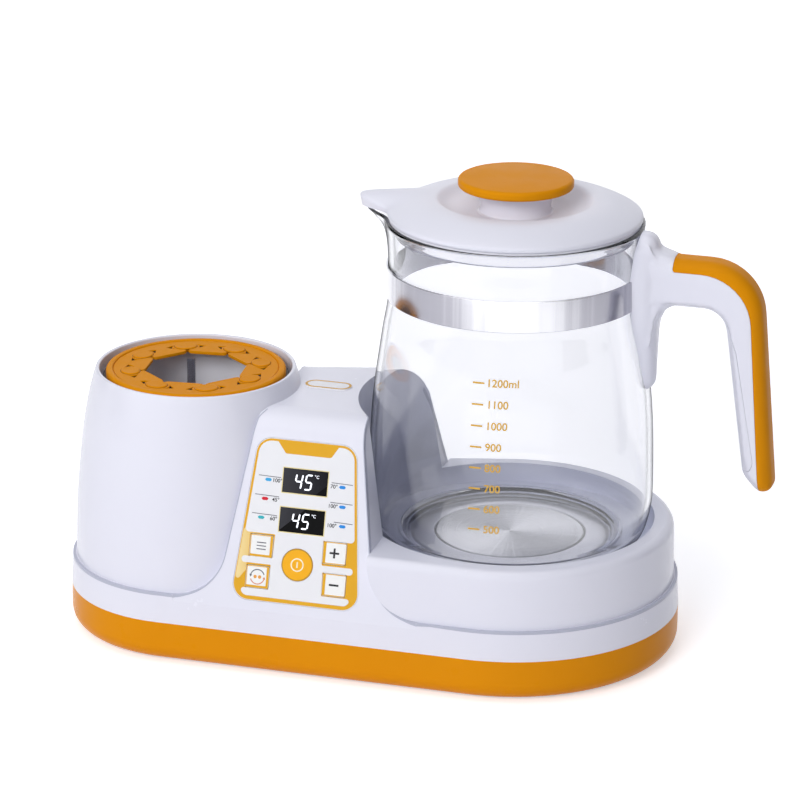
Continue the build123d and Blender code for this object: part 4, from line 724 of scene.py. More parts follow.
handle_form = hidden(piece_of("handle_form", melted("handle_form", solids, 0.7, 14), abs_white))
print("handle skin", len(handle_form.data.vertices), "points")

# %% [markdown]
# Three mouldings share that form: the white body, the orange back and the grey pad that the
# fingers rest on.  The body is cut a hair wider than its neighbours, so a fine gap parts them.

# %% Cut the handle along its parting lines
PARTING = 0.12


def inlay_line(gap):
    """The outline of the orange back, moved by a gap towards the body."""
    return rounded([(70 - gap, 195), (120, 195), (130, 70), (110.6 - gap, 70), (102.4 - gap, 176.1 - gap),
                    (70 - gap, 176.1 - gap)], [0, 0, 0, 0, 22, 1.2], 10)


glass_line = [(0, 100)] + [(r + 0.25, z) for r, z in belly if z > 100] + [(55.2, 195), (0, 195)]
glass_tool = hidden(turned("handle_glass_cutter", glass_line, KETTLE, abs_white, None, 192, False))
pad_line = rounded([(88, 155.5), (93.3, 155.5), (98.2, 143), (107.0, 95.0), (105.4, 91.2), (95, 91.2)],
                   [0, 4, 8, 4, 2, 0], 6)
pad_gap_line = [(x + (PARTING if x > 90 else 0), y + (PARTING if y > 120 else -PARTING)) for x, y in pad_line]
inlay_tool = prism("inlay_cutter", inlay_line(0), side_view)
inlay_gap = prism("inlay_gap_cutter", inlay_line(PARTING), side_view)
pad_tool = prism("pad_cutter", pad_line, side_view)
pad_gap = prism("pad_gap_cutter", pad_gap_line, side_view)
body_piece = carve("handle_shell", [glass_tool, inlay_gap, pad_gap], "DIFFERENCE", abs_white)
inlay_piece = carve("handle_back", [inlay_tool], "INTERSECT", abs_orange_satin)
pad_piece = carve("handle_finger_pad", [pad_tool], "INTERSECT", abs_white_satin)
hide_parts("handle_body")
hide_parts("handle_inlay")
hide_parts("handle_pad")
for tool in (handle_form, glass_tool, inlay_tool, inlay_gap, pad_tool, pad_gap):
    bpy.data.objects.remove(tool)
print("handle", [len(p.data.vertices) for p in (body_piece, inlay_piece, pad_piece)])

# %% [markdown]
# The grip disc is one orange silicone moulding: an outer bead, a fine groove inside it, and a
# plate with an eight-sided opening.  Slits part the plate into petals, so it can stretch round a
# bottle; each slit runs into a low oval island with a pointed hole at both of its ends.

# %% Grip disc plate
PETALS = 8
FIRST_SLIT = radians(28)
low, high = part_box("grip_disc")
DISC_LOW, DISC_TOP, DISC_R = low.z / MM, high.z / MM, (high.x - low.x) / 2 / MM
PLATE_THICK, PLATE_DOWN = 1.4, 1.9
OPENING_CORNER = 22.8
ISLAND_R, ISLAND_OUT, ISLAND_ACROSS = 28.6, 4.1, 4.9
NOTCH = [(-1.0, 2.0), (-0.2, 0.9), (0.6, 0.55), (1.3, 1.0), (2.1, 0.95)]
ARROW = [(5.0, 2.5), (9.0, 0.0), (5.0, -2.5), (6.3, 0.0)]
slit_angles = [FIRST_SLIT + 2 * pi * k / PETALS for k in range(PETALS)]


def around(angle, out, across):
    """A point at a distance along a direction, and a distance square to it."""
    return (out * cos(angle) - across * sin(angle), out * sin(angle) + across * cos(angle))


def oval(angle, out, across, steps):
    """An oval round an island's middle, from its two half lengths."""
    turns = [2 * pi * k / steps for k in range(steps)]
    return [around(angle, ISLAND_R + out * cos(turn), across * sin(turn)) for turn in turns]


def on_disc(height):
    """The level plane at a height over the plate's underside, its middle on the well's axis."""
    return Matrix.Translation((WELL.x, WELL.y, (DISC_TOP - PLATE_DOWN + height) * MM))


notch = [(out, -across) for out, across in NOTCH] + [(2.6, 0)] + NOTCH[::-1]
opening = [around(angle, OPENING_CORNER + out, across) for angle in slit_angles for out, across in notch]
holes = [[around(angle, ISLAND_R - 0.4 + up, side * out) for out, up in ARROW]
         for angle in slit_angles for side in (-1, 1)]
lines = [oval(angle, ISLAND_OUT + grow, ISLAND_ACROSS + grow, 48)
         for angle in slit_angles for grow in (0.28, 0.0)]
plate = flat("grip_disc_plate", [circle(DISC_R - 3.4, steps=128), opening] + holes, PLATE_THICK,
             silicone_orange, "disc", on_disc(0), edge=0.15, steps=3)
# The dark sheets in the pointed holes are painted shade.
flat("grip_disc_arrow_painted_shade", holes, 0.3, hole_painted_shade, "disc", on_disc(0.55))
# The thin rings round the islands are painted groove shade.
flat("grip_disc_island_painted_groove_shade", lines, 0.03, groove_painted_shade, "disc", on_disc(PLATE_THICK))
print("disc", len(plate.data.vertices), "points in the plate,", len(holes), "holes")

# %% [markdown]
# The bead round the plate is turned, and so is a dark ring in the gap outside it: painted shade
# for the deep gap.  The eight islands are low ovals with a soft shoulder, built ring upon ring.

# %% Grip disc bead, painted gap shade and islands
bead = rounded([(DISC_R - 3.6, DISC_TOP - 3.0), (DISC_R - 2.4, DISC_LOW + 2.2), (DISC_R - 2.4, DISC_LOW),
                (DISC_R, DISC_LOW), (DISC_R, DISC_TOP), (DISC_R - 3.1, DISC_TOP),
                (DISC_R - 3.1, DISC_TOP - 0.9), (DISC_R - 3.6, DISC_TOP - 0.9)],
               [0, 0, 0.3, 0.4, 1.5, 0.7, 0.2, 0.1], 5)
ring = turned("grip_disc_bead", bead, WELL, silicone_orange, "disc", 160)
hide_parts("grip_disc")

# Painted shade: a dark ring down in the gap between the disc and the tower.
GAP_IN, GAP_OUT, GAP_Z = DISC_R - 0.4, DISC_R + 1.3, DISC_TOP - 3.4
gap_shade_line = rounded([(GAP_IN, GAP_Z - 1.2), (GAP_OUT, GAP_Z - 1.2), (GAP_OUT, GAP_Z), (GAP_IN, GAP_Z)],
                      [0.2, 0.2, 0.4, 0.4], 4)
turned("grip_disc_gap_painted_shade", gap_shade_line, WELL, nylon_black, "disc")

ISLAND_ROWS = [(1.0, 0.0), (0.99, 0.28), (0.95, 0.42), (0.88, 0.5), (0.78, 0.46), (0.5, 0.42), (0.0, 0.42)]
ISLAND_STEPS, ISLAND_FOOT = 36, DISC_TOP - 0.52
island_points, island_faces = [], []
for angle in slit_angles:
    island_faces += tube(len(ISLAND_ROWS), ISLAND_STEPS, len(island_points), False)
    for share, height in ISLAND_ROWS:
        island_points += [(WELL.x + x * MM, WELL.y + y * MM, (ISLAND_FOOT + height) * MM)
                          for x, y in oval(angle, ISLAND_OUT * share, ISLAND_ACROSS * share, ISLAND_STEPS)]
islands = place("grip_disc_islands", island_points, island_faces, silicone_orange, "disc", 60)
print("islands", len(islands.data.vertices), "points, bead", len(ring.data.vertices))

# %% [markdown]
# The basket is white polypropylene with tall slots that let the warm water through.  It is turned
# as upright staves between the slots, under a rolled rim that hangs on the cup.

# %% Basket
BASKET_LOW, BASKET_TOP = [corner.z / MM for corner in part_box("bottle_basket")]
SLOT_HALF = 1.9
SLOT_LOW, SLOT_HIGH = BASKET_LOW + 9, BASKET_TOP - 3.4
WALL_IN, WALL_OUT = 37.55, 38.9
STAVES, STAVE_PARTS = 8, 14
section = [(WALL_IN, SLOT_LOW), (WALL_IN, SLOT_HIGH), (WALL_OUT, SLOT_HIGH), (WALL_OUT, SLOT_LOW)]
stave_points, stave_faces = [], []
for k in range(STAVES):
    start = radians(22.5 + 45 * k) + SLOT_HALF / WALL_OUT
    stop = radians(22.5 + 45 * (k + 1)) - SLOT_HALF / WALL_OUT
    stave_faces += tube(STAVE_PARTS + 1, len(section), len(stave_points))
    for turn in [start + (stop - start) * i / STAVE_PARTS for i in range(STAVE_PARTS + 1)]:
        stave_points += [(WELL.x + radius * MM * cos(turn), WELL.y + radius * MM * sin(turn), height * MM)
                         for radius, height in section]
staves = place("basket_staves", stave_points, stave_faces, basket_pp, "basket", 40)
rim_line = rounded([(WALL_IN, SLOT_HIGH), (WALL_IN, BASKET_TOP), (41.2, BASKET_TOP), (41.2, BASKET_TOP - 2.1),
                    (WALL_OUT, BASKET_TOP - 2.1), (WALL_OUT, SLOT_HIGH)], [0, 0.8, 0.8, 0.3, 0.6, 0], 4)
basket_rim = turned("basket_rim", rim_line, WELL, basket_pp, "basket")
cup_line = rounded([(0, BASKET_LOW), (WALL_OUT, BASKET_LOW), (WALL_OUT, SLOT_LOW), (WALL_IN, SLOT_LOW),
                    (WALL_IN, BASKET_LOW + 1.5), (0, BASKET_LOW + 1.5)], [0, 4, 0, 0, 2.6, 0], 6)
basket_floor = turned("basket_floor", cup_line, WELL, basket_pp, "basket", 144, False)
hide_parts("bottle_basket")
print("basket", STAVES, "staves,", len(staves.data.vertices), "points")

# %% [markdown]
# The heating plate is spun steel.  A fine groove parts the spun middle from the plain flange that
# the kettle's foot stands on; a dark ring down in the groove is painted shade.

# %% Heating plate
PLATE_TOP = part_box("heating_plate")[1].z / MM
PLATE_LOW = PLATE_TOP - 1.5
SPUN_TOP, GROOVE_FLOOR = PLATE_TOP - 0.05, PLATE_TOP - 0.9
spun_line = [(0, SPUN_TOP)] + [(4 + 1.6 * n, SPUN_TOP - 0.05 * (n % 2)) for n in range(18)] + [
    (31.9, SPUN_TOP), (32.15, GROOVE_FLOOR), (33.0, GROOVE_FLOOR), (33.0, PLATE_LOW), (0, PLATE_LOW)]
spun = turned("heating_plate_spun", spun_line, KETTLE, spun_steel, "base", 180, False, sharp=20)
flange_line = rounded([(33.0, PLATE_LOW), (33.2, PLATE_TOP), (45.5, PLATE_TOP), (45.5, PLATE_LOW)],
                      [0, 0.3, 0.8, 0], 5)
flange = turned("heating_plate_flange", flange_line, KETTLE, flange_steel, "base", 180)
# Painted shade: a dark ring down in the groove between the spun middle and the flange.
gap_line = [(32.2, GROOVE_FLOOR), (32.2, PLATE_TOP - 0.6), (33.1, PLATE_TOP - 0.6), (33.1, GROOVE_FLOOR)]
turned("heating_plate_groove_painted_shade", gap_line, KETTLE, nylon_black, "base", 180)
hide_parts("heating_plate")
print("plate", len(spun.data.vertices) + len(flange.data.vertices), "points")

# %% [markdown]
# A pale grey strip paints the shade in the step where the skirt meets the upper shells.  It hugs
# the skirt's top corner all the way round and climbs both sides of the console in a wide sweep.
# The path is worked out from the console's own lines: its leaning flanks, its tilted front, the
# sweep's radius and the round into the deck.

# %% Path of the painted shade strip
TILT = radians(16.8)
LEAN = radians(8.8)
SWEEP_R, DECK_ROUND = 22.0, 16.0
HALF_AT_LEDGE = 35.2
SWEEP_END = HALF_AT_LEDGE + SWEEP_R * tan((radians(90) - LEAN) / 2)
LEDGE, DECK = LEDGE_Z / MM, DECK_Z / MM
WELL_MM, KETTLE_MM, CONSOLE_MM = WELL / MM, KETTLE / MM, CONSOLE_X / MM
WELL_END, KETTLE_END = 54.7, 73.1
AXES = (KETTLE_MM - WELL_MM).normalized()
TURN = atan2(AXES.y, AXES.x)
overlay_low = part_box("panel_overlay")[0]
PANEL_FOOT = -2.7
FOOT_Y = overlay_low.y / MM
FOOT_Z = overlay_low.z / MM + 0.9 * sin(TILT)
round_start_z = DECK - DECK_ROUND * (1 - sin(TILT))
round_y = FOOT_Y + (round_start_z - FOOT_Z) * tan(TILT) + DECK_ROUND * cos(TILT)


def console_front(z):
    """Where the console's front stands at a height, over its round into the deck, and its normal there."""
    if z <= round_start_z:
        return FOOT_Y + (z - FOOT_Z) * tan(TILT), Vector((0, -cos(TILT), sin(TILT)))
    rise = min(1.0, (z - (DECK - DECK_ROUND)) / DECK_ROUND)
    level = sqrt(max(0.0, 1 - rise * rise))
    return round_y - DECK_ROUND * level, Vector((0, -level, rise))


def console_stations(side):
    """Points from the ledge up one flank: (across, height, flank normal, share of the way up the sweep)."""
    centre = (HALF_AT_LEDGE + SWEEP_R * tan(radians(45) - LEAN / 2), LEDGE + SWEEP_R)
    stations = []
    for k in range(15):
        turn = radians(270) - (radians(270) - (pi + LEAN)) * k / 14
        out = (centre[0] + SWEEP_R * cos(turn), centre[1] + SWEEP_R * sin(turn))
        stations.append((side * out[0], out[1], Vector((-side * cos(turn), 0, -sin(turn))), k / 14))
    low = stations[-1][1]
    heights = [low + (round_start_z - low) * k / 12 for k in range(1, 13)]
    turns = [TILT + (radians(88) - TILT) * k / 10 for k in range(1, 11)]
    heights += [DECK - DECK_ROUND + DECK_ROUND * sin(turn) for turn in turns]
    flank = Vector((side * cos(LEAN), 0, sin(LEAN)))
    return stations + [(side * (HALF_AT_LEDGE - (z - LEDGE) * tan(LEAN)), z, flank, 1) for z in heights]


def mirrored(direction):
    """A direction reflected in the upright plane through both axes."""
    across = Vector((-AXES.y, AXES.x, 0))
    return direction - 2 * direction.dot(across) * across


def console_edge(side, rear):
    """The strip's stations up one flank: point, front normal, flank normal and share."""
    edge = []
    for across, z, flank, share in console_stations(side):
        x = CONSOLE_MM + across
        y, normal = console_front(z)
        if rear:
            y = (sin(2 * TURN) * (x - KETTLE_MM.x) - y) / cos(2 * TURN)
            normal = mirrored(normal)
        edge.append((Vector((x, y, z)), normal, flank, share))
    return edge


def end_arc(side):
    """Stations round one end of the base on the ledge, from the front to the back."""
    centre, radius, start = (WELL_MM, WELL_END, 3 * pi / 2) if side < 0 else (KETTLE_MM, KETTLE_END, -pi / 2)
    stop = 2 * TURN + pi / 2
    arc = []
    for k in range(65):
        turn = start + (stop - start) * k / 64
        out = Vector((cos(turn), sin(turn), 0))
        arc.append((Vector((centre.x, centre.y, LEDGE)) + out * radius, out, Vector((0, 0, 1)), 0.0))
    return arc


print("sweep ends", round(SWEEP_END, 2), "mm from the console's middle line")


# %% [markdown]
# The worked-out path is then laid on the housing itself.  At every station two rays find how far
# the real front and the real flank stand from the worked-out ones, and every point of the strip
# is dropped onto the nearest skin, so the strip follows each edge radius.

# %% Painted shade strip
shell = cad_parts["housing"]
skin = BVHTree.FromPolygons([shell.matrix_world @ v.co for v in shell.data.vertices],
                            [tuple(p.vertices) for p in shell.data.polygons])
REACH, INWARD = 2.0, 1.4
ON_WALL, ON_TOP, NEAR_SWEEP = 1.2, 1.1, 6.0
STRIP_OUT, STRIP_IN, STRIP_PARTS = 0.12, -0.15, 4


def gap(point, normal):
    """How far the skin stands out from a point along a normal, in millimetres, or None."""
    where = skin.ray_cast((point + normal * REACH) * MM, -normal, 2 * REACH * MM)[0]
    return None if where is None else (where / MM - point).dot(normal)


def filled(stations, step=0.8):
    """The stations with more put between any two that are further apart than a step."""
    result = []
    for (spot, front, flank, share), (other, front2, flank2, share2) in zip(stations, stations[1:]):
        parts = max(1, int((other - spot).length / step))
        for t in [k / parts for k in range(parts)]:
            result.append((spot.lerp(other, t), front.lerp(front2, t).normalized(),
                           flank.lerp(flank2, t).normalized(), share + (share2 - share) * t))
    return result + [stations[-1]]


def seated(stations):
    """The stations moved to the housing's real corner; a station without one is left out."""
    moved = []
    for spot, front, flank, share in filled(stations):
        out_front, out_flank = gap(spot - flank * INWARD, front), gap(spot - front * INWARD, flank)
        if out_front is not None and out_flank is not None:
            moved.append((spot + front * out_front + flank * out_flank, front, flank, share))
    return moved


def laid(point, lift):
    """The point of the skin nearest to a point, lifted off it by a distance."""
    where, normal, _, _ = skin.find_nearest(point * MM)
    return where + normal * lift * MM


def strip(name, stations):
    """A thin skin along the stations: part on the front wall, part on the surface behind the corner."""
    points = []
    spots = [station[0] for station in stations]
    neighbours = zip(spots[:1] + spots, spots[1:] + spots[-1:])
    for (last, following), (spot, front, flank, share) in zip(neighbours, stations):
        along = (following - last).normalized()
        down = front.cross(along).normalized()
        down = -down if down.dot(flank) > 0 else down
        back = flank.cross(along).normalized()
        back = -back if back.dot(front) > 0 else back
        near_sweep = max(0.0, 1 - abs(abs(spot.x - CONSOLE_MM) - SWEEP_END) / NEAR_SWEEP)
        on_wall, on_top = ON_WALL - 0.7 * share + 0.7 * near_sweep * (1 - share), ON_TOP + 1.3 * share
        across = [spot + down * on_wall * k / STRIP_PARTS for k in range(STRIP_PARTS, 0, -1)]
        across += [spot + back * on_top * k / STRIP_PARTS for k in range(STRIP_PARTS + 1)]
        points += [laid(p, STRIP_OUT) for p in across] + [laid(p, STRIP_IN) for p in reversed(across)]
    return place(name, points, tube(len(stations), len(points) // len(stations)), joint_shade_grey, "base", 30)


# Each strip is painted shade along the step between the skirt and the upper shells.
for side, label in ((-1, "left"), (1, "right")):
    path = seated(list(reversed(console_edge(side, False))) + end_arc(side) + console_edge(side, True))
    piece = strip(f"joint_shade_strip_{label}", path)
    print(piece.name, len(path), "stations")

# %% [markdown]
# The panel is drawn in its own plane: across from its middle and up the slope, in millimetres.
# A gold film carries white areas, key frames and windows; each layer lies a few hundredths of a
# millimetre over the last, as printed ink does, so none of them flickers.

# %% Panel plane and lettering helpers
INK, LAYER, SINK, KEY_INK_AT = 0.04, 0.03, 0.02, 0.19
face_up = Vector((0, sin(TILT), cos(TILT)))
face_out = Vector((0, -cos(TILT), sin(TILT)))
face_origin = Vector((CONSOLE_X, FOOT_Y * MM, FOOT_Z * MM)) - face_up * PANEL_FOOT * MM
face = Matrix((
    (1, face_up.x, face_out.x, face_origin.x), (0, face_up.y, face_out.y, face_origin.y),
    (0, face_up.z, face_out.z, face_origin.z), (0, 0, 0, 1)))


def raised(height):
    """The panel's plane, raised by a height in millimetres."""
    return face @ Matrix.Translation((0, 0, height * MM))


def layer(level):
    """The panel's plane, raised by a number of layers of ink."""
    return raised(level * LAYER - SINK)


def bar(x0, y0, x1, y1, width):
    """A straight stroke with square ends."""
    start, stop = Vector((x0, y0)), Vector((x1, y1))
    side = Vector((-(stop - start).y, (stop - start).x)).normalized() * width / 2
    return [tuple(start - side), tuple(stop - side), tuple(stop + side), tuple(start + side)]


def printed(name, loops, level, material):
    """Several separate flat shapes on the panel as one piece."""
    return flat(name, loops, INK, material, "base", layer(level))


def marked(name, loops, material, key, thickness=INK, height=KEY_INK_AT):
    """Ink on the top of a key, which goes down with it."""
    return flat(name, loops, thickness, material, key + "_button", raised(height))


def written(name, text, size, material, body, matrix, spot, thickness=INK, bold=0.018):
    """Plain upright figures of a size in millimetres, centred on a spot of the matrix's plane."""
    curve = bpy.data.curves.new(name, "FONT")
    curve.body = text
    curve.size = size * MM
    curve.align_x, curve.align_y = "CENTER", "CENTER"
    curve.extrude = thickness * MM / 2
    curve.offset = bold * size * MM
    mesh = final_mesh(linked(name + "_source", curve))
    mesh.transform(matrix @ Matrix.Translation((spot[0] * MM, spot[1] * MM, thickness * MM / 2)))
    return piece_of(name, mesh, material, body)


print("panel foot at", [round(v, 4) for v in face_origin])

# %% [markdown]
# The film narrows towards its top.  Its gold ground and its white areas leave the two windows, the
# four keys and the round power key open, so that a pressed key sinks into its own hole.

# %% Panel film
WINDOW_ACROSS, WINDOW_W, WINDOW_H = 0.4, 20.0, 10.6
WINDOW_UPS = (49.8, 33.1)
KEY_W, KEY_H, KEY_HOLE = 10.0, 9.3, 0.6
KEYS = {
    "function": (-16.5, 20.8, 0.35, 1.15, 0.95, 0.35), "mode": (-17.1, 7.5, 0.35, 1.05, 0.95, 0.35),
    "plus": (15.9, 21.1, 1.25, 0.1, 0.4, 0.35), "minus": (16.8, 7.6, 1.25, 0.1, 0.4, 0.35),
}
POWER_UP, POWER_HOLE_R = 14.4, 7.0
PANEL_TOP, HALF_AT_FOOT, HALF_AT_TOP, SIDE_SLOPE = 67.0, 28.4, 21.8, 0.0947


def panel_loop(inset, corner):
    """The film's outline, moved in from its edge."""
    foot, top = PANEL_FOOT + inset, PANEL_TOP - inset
    low = HALF_AT_FOOT - SIDE_SLOPE * inset - inset
    high = HALF_AT_TOP + SIDE_SLOPE * inset - inset
    return rounded([(-low, foot), (low, foot), (high, top), (-high, top)], corner, 10)


window_holes = [box_loop(WINDOW_ACROSS, up, WINDOW_W, WINDOW_H) for up in WINDOW_UPS]
key_holes = [box_loop(*key[:2], KEY_W + KEY_HOLE, KEY_H + KEY_HOLE, 0.8) for key in KEYS.values()]
power_hole = [circle(POWER_HOLE_R, 0, POWER_UP, 96)]
printed("panel_gold_ground", [panel_loop(0.25, 6.8)] + window_holes + key_holes + power_hole, 0, gold_ink)
pale = rounded([(-24.9, 27.8), (-27.2, 3.6), (-22.5, 10.0), (-22.5, 12.6), (-22.0, 15.7), (-22.0, 25.9),
                (-11.0, 25.9), (-10.8, 27.8)], [1.2, 1.0, 0, 0, 0, 0, 0, 0], 5)
printed("panel_gold_fading", [pale], 1, gold_pale)
white_outline = rounded(
    [(-24.3, 26.3), (-20.7, 65.8), (-12.9, 65.8), (-9.2, 61.0), (10.9, 61.0), (13.9, 65.8), (20.7, 65.8),
     (24.3, 26.1), (10.5, 25.95), (10.7, 15.4), (24.4, 15.4), (24.7, 12.5), (11.3, 12.5), (11.6, 2.4),
     (25.6, 2.4), (22.4, -0.8), (-22.4, -0.8), (-25.6, 2.5), (-11.8, 2.5), (-11.7, 13.2), (-24.9, 13.2),
     (-24.7, 16.0), (-11.2, 16.0), (-10.8, 26.3)],
    [1.6, 5.6, 0.5, 1.3, 1.3, 0.5, 5.6, 1.6, 0.4, 0.4, 1.3, 1.4, 0.4, 0.4, 1.2, 2.8, 2.8, 1.2, 0.4, 0.4, 1.3,
     1.3, 0.4, 0.4], 6)
printed("panel_white_area", [white_outline] + window_holes + power_hole, 2, film_white)
frames = [loop for up in WINDOW_UPS for loop in (
    box_loop(WINDOW_ACROSS, up, WINDOW_W + 0.6, WINDOW_H + 0.6, 0.3),
    box_loop(WINDOW_ACROSS, up, WINDOW_W - 0.2, WINDOW_H - 0.2))]
printed("window_frames", frames, 3, pale_line)
for key, (across, up, left, right, foot, top) in KEYS.items():
    wide, high = KEY_W - left - right, KEY_H - foot - top
    field = box_loop(across + (left - right) / 2, up + (foot - top) / 2, wide, high, 0.3)
    marked(key + "_key_frame", [box_loop(across, up, KEY_W, KEY_H, 0.4), field], gold_ink, key)
print("film with", len(window_holes + key_holes + power_hole), "openings")

# %% [markdown]
# Both windows show a temperature in slanted seven-segment figures.  A lighter patch over the upper
# left of each window is a painted reflection.

# %% Displays
SEGMENTS = {"4": "fgbc", "5": "afgcd"}
DIGIT_W, DIGIT_H, STROKE, SLANT, SEGMENT_GAP = 2.7, 6.2, 0.66, 0.14, 0.12


def segment_loops(figure, x, y):
    """The lit segments of a slanted seven-segment figure centred on a spot."""
    w, h, t = DIGIT_W / 2, DIGIT_H / 2, STROKE / 2
    ends = {"a": (-w, h, w, h), "b": (w, h, w, 0), "c": (w, 0, w, -h), "d": (-w, -h, w, -h),
            "f": (-w, h, -w, 0), "g": (-w, 0, w, 0)}
    loops = []
    for name in SEGMENTS[figure]:
        x0, y0, x1, y1 = ends[name]
        along = Vector((x1 - x0, y1 - y0)).normalized()
        side = Vector((-along.y, along.x)) * t
        start, stop = Vector((x0, y0)) + along * SEGMENT_GAP, Vector((x1, y1)) - along * SEGMENT_GAP
        corners = [start, start + along * t - side, stop - along * t - side, stop, stop - along * t + side,
                   start + along * t + side]
        loops.append([(x + p.x + SLANT * p.y, y + p.y) for p in corners])
    return loops


digits = []
for up in WINDOW_UPS:
    for figure, shift in (("4", -2.9), ("5", 1.5)):
        digits += segment_loops(figure, WINDOW_ACROSS + shift, up - 0.1)
printed("display_digits", digits, 5, digit_white)
for up in WINDOW_UPS:
    corner = (WINDOW_ACROSS + 5.0, up + 2.5)
    written(f"degree_sign_{int(up)}", "°C", 1.9, digit_white, "base", layer(5), corner, bold=0)
# Painted reflection: lighter patches over the upper left of each window.
gloss = [[(-9.5, 55.0), (10.3, 55.0), (10.3, 49.2), (5.2, 44.6), (-9.5, 44.6)],
         [(-9.5, 38.3), (1.6, 38.3), (-9.0, 28.6), (-9.5, 28.6)]]
printed("display_painted_reflection", gloss, 3, window_painted_reflection)
print("displays with", len(digits), "lit segments")

# %% [markdown]
# Six lozenge lamps stand beside the windows.  Each has a number printed next to it and a thin
# grey rule over both.

# %% Panel lamps, their rules and numbers
LAMPS = [(-15.9, 49.2, "sky", "100°", -11.9, -20.3, -10.4), (-16.7, 41.0, "red", "45°", -11.9, -21.2, -10.6),
         (-17.7, 32.9, "teal", "60°", -12.2, -21.9, -10.8), (16.9, 49.2, "blue", "70°", 13.2, 12.0, 21.4),
         (17.6, 40.9, "blue", "100°", 13.4, 12.2, 22.0), (18.3, 32.7, "blue", "100°", 13.6, 14.4, 22.7)]
LOZENGE = [(-1.6, 0), (-0.9, 0.68), (0.9, 0.68), (1.6, 0), (0.9, -0.68), (-0.9, -0.68)]
rules = []
for number, (across, up, hue, label, label_across, start, stop) in enumerate(LAMPS):
    lozenge = rounded([(across + x, up + y) for x, y in LOZENGE], 0.3, 3)
    flat(f"lamp_{number}", [lozenge], 0.12, lamps[hue], "base", layer(3), edge=0.04)
    written(f"lamp_number_{number}", label, 2.3, black_ink, "base", layer(3), (label_across, up - 0.1))
    rules.append(bar(start, up + 1.55, stop, up + 1.35, 0.3))
printed("lamp_rules", rules, 3, grey_ink)
print(len(LAMPS), "panel lamps")

# %% [markdown]
# The signs are printed on the keys themselves, so each goes down with its key: plus, minus, two
# chasing arrows round drops, three short lines, and the ring and bar of the power key.

# %% Marks on the keys
def arc_band(x, y, radius, start, stop, width, steps=18):
    """A curved stroke with square ends."""
    turns = [start + (stop - start) * k / steps for k in range(steps + 1)]
    sides = ((radius + width / 2, turns), (radius - width / 2, turns[::-1]))
    return [(x + reach * cos(turn), y + reach * sin(turn)) for reach, order in sides for turn in order]


ARM, HALF, CHASE_R = 2.1, 0.42, 3.1
x, y = KEYS["plus"][:2]
plus = [(-ARM, -HALF), (-HALF, -HALF), (-HALF, -ARM), (HALF, -ARM), (HALF, -HALF), (ARM, -HALF), (ARM, HALF),
        (HALF, HALF), (HALF, ARM), (-HALF, ARM), (-HALF, HALF), (-ARM, HALF)]
marked("plus_sign", [[(x + across, y + up) for across, up in plus]], black_ink, "plus", 0.05)
x, y = KEYS["minus"][:2]
marked("minus_sign", [box_loop(x, y, 2 * ARM, 2 * HALF)], black_ink, "minus")
x, y = KEYS["mode"][:2]
for number, (start, stop, finish) in enumerate(((20, 165, grey_ink), (200, 345, mode_red))):
    tip = radians(stop)
    head = [(x + r * cos(tip + a), y + r * sin(tip + a)) for r, a in ((2.45, 0), (3.75, 0), (CHASE_R, 0.34))]
    marked(f"mode_arrow_{number}", [arc_band(x, y, CHASE_R, radians(start), tip, 0.42)], finish, "mode")
    marked(f"mode_arrow_head_{number}", [head], finish, "mode")
marked("mode_drops", [circle(0.75, x + across, y, 20) for across in (-1.0, 1.0)], mode_amber, "mode")
x, y = KEYS["function"][:2]
lines = [box_loop(x, y + up, 4.2, 0.42, 0.15) for up in (-1.4, 0, 1.4)]
marked("function_lines", lines, grey_ink, "function")
marked("power_ring", [circle(r, 0, POWER_UP, 64) for r in (2.9, 2.35)], power_mark, "power", 0.05)
marked("power_bar", [box_loop(0, POWER_UP, 0.62, 2.6, 0.2)], power_mark, "power", 0.05)
marked("power_rim", [circle(r, 0, POWER_UP, 96) for r in (6.8, 6.35)], gold_line, "power", 0.05, 0.18)
print("signs on", len(KEYS) + 1, "keys")

# %% [markdown]
# A small pill-shaped badge lies on the deck behind the panel.  It carries no words, only a thin
# gold rim.

# %% Badge rim
badge = middle("deck_badge")
badge_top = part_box("deck_badge")[1].z


def pill(length, width):
    """A loop with two straight sides and round ends."""
    half = (length - width) / 2
    end = [(half + width / 2 * cos(a), width / 2 * sin(a)) for a in [radians(12 * k - 90) for k in range(16)]]
    return end + [(-x, -y) for x, y in end]


flat("badge_rim", [pill(20.6, 9.2), pill(18.4, 7.0)], 0.05, gold_line, "base",
     Matrix.Translation((badge.x, badge.y, badge_top - 0.01 * MM)))
print("badge at", [round(v, 4) for v in badge])

# %% [markdown]
# The kettle's volume marks are gold ink fired onto the glass.  Each is drawn flat and then bent
# round the belly: across becomes an angle, and the distance from the axis follows the glass.

# %% Volume marks
outer_radius = [(z, r) for r, z in belly if z > 60]


def bend(piece, lift=0.05):
    """Wraps a flat piece drawn at x across and y up round the glass, its front towards -Y."""
    for vertex in piece.data.vertices:
        across, height, out = vertex.co.x / MM, vertex.co.y / MM, vertex.co.z / MM
        radius = between(outer_radius, height)
        turn = -pi / 2 + across / radius
        reach = (radius + lift + out) * MM
        vertex.co = (KETTLE.x + reach * cos(turn), KETTLE.y + reach * sin(turn), height * MM)
    piece.data.update()


MARK_INK = 0.03
MARKS = [(1200 - 100 * k, 136 - 9 * k) for k in range(8)]
ticks = [box_loop(0.0, z, 5.0, 0.75) for volume, z in MARKS]
bend(flat("volume_ticks", ticks, MARK_INK, mark_gold, "kettle"))
for volume, z in MARKS:
    label = f"{volume}ml" if volume == 1200 else str(volume)
    across = 10.2 if volume == 1200 else 8.4 if volume >= 1000 else 7.4
    bend(written(f"volume_{volume}", label, 4.6, mark_gold, "kettle", Matrix(), (across, z), MARK_INK))
print("marks", len(MARKS))

# %% [markdown]
# The studio is plain: a pale floor that runs into a pale backdrop.  Both the floor and the world
# look white to the camera, to mirrors and through clear glass, and light the object less than that.

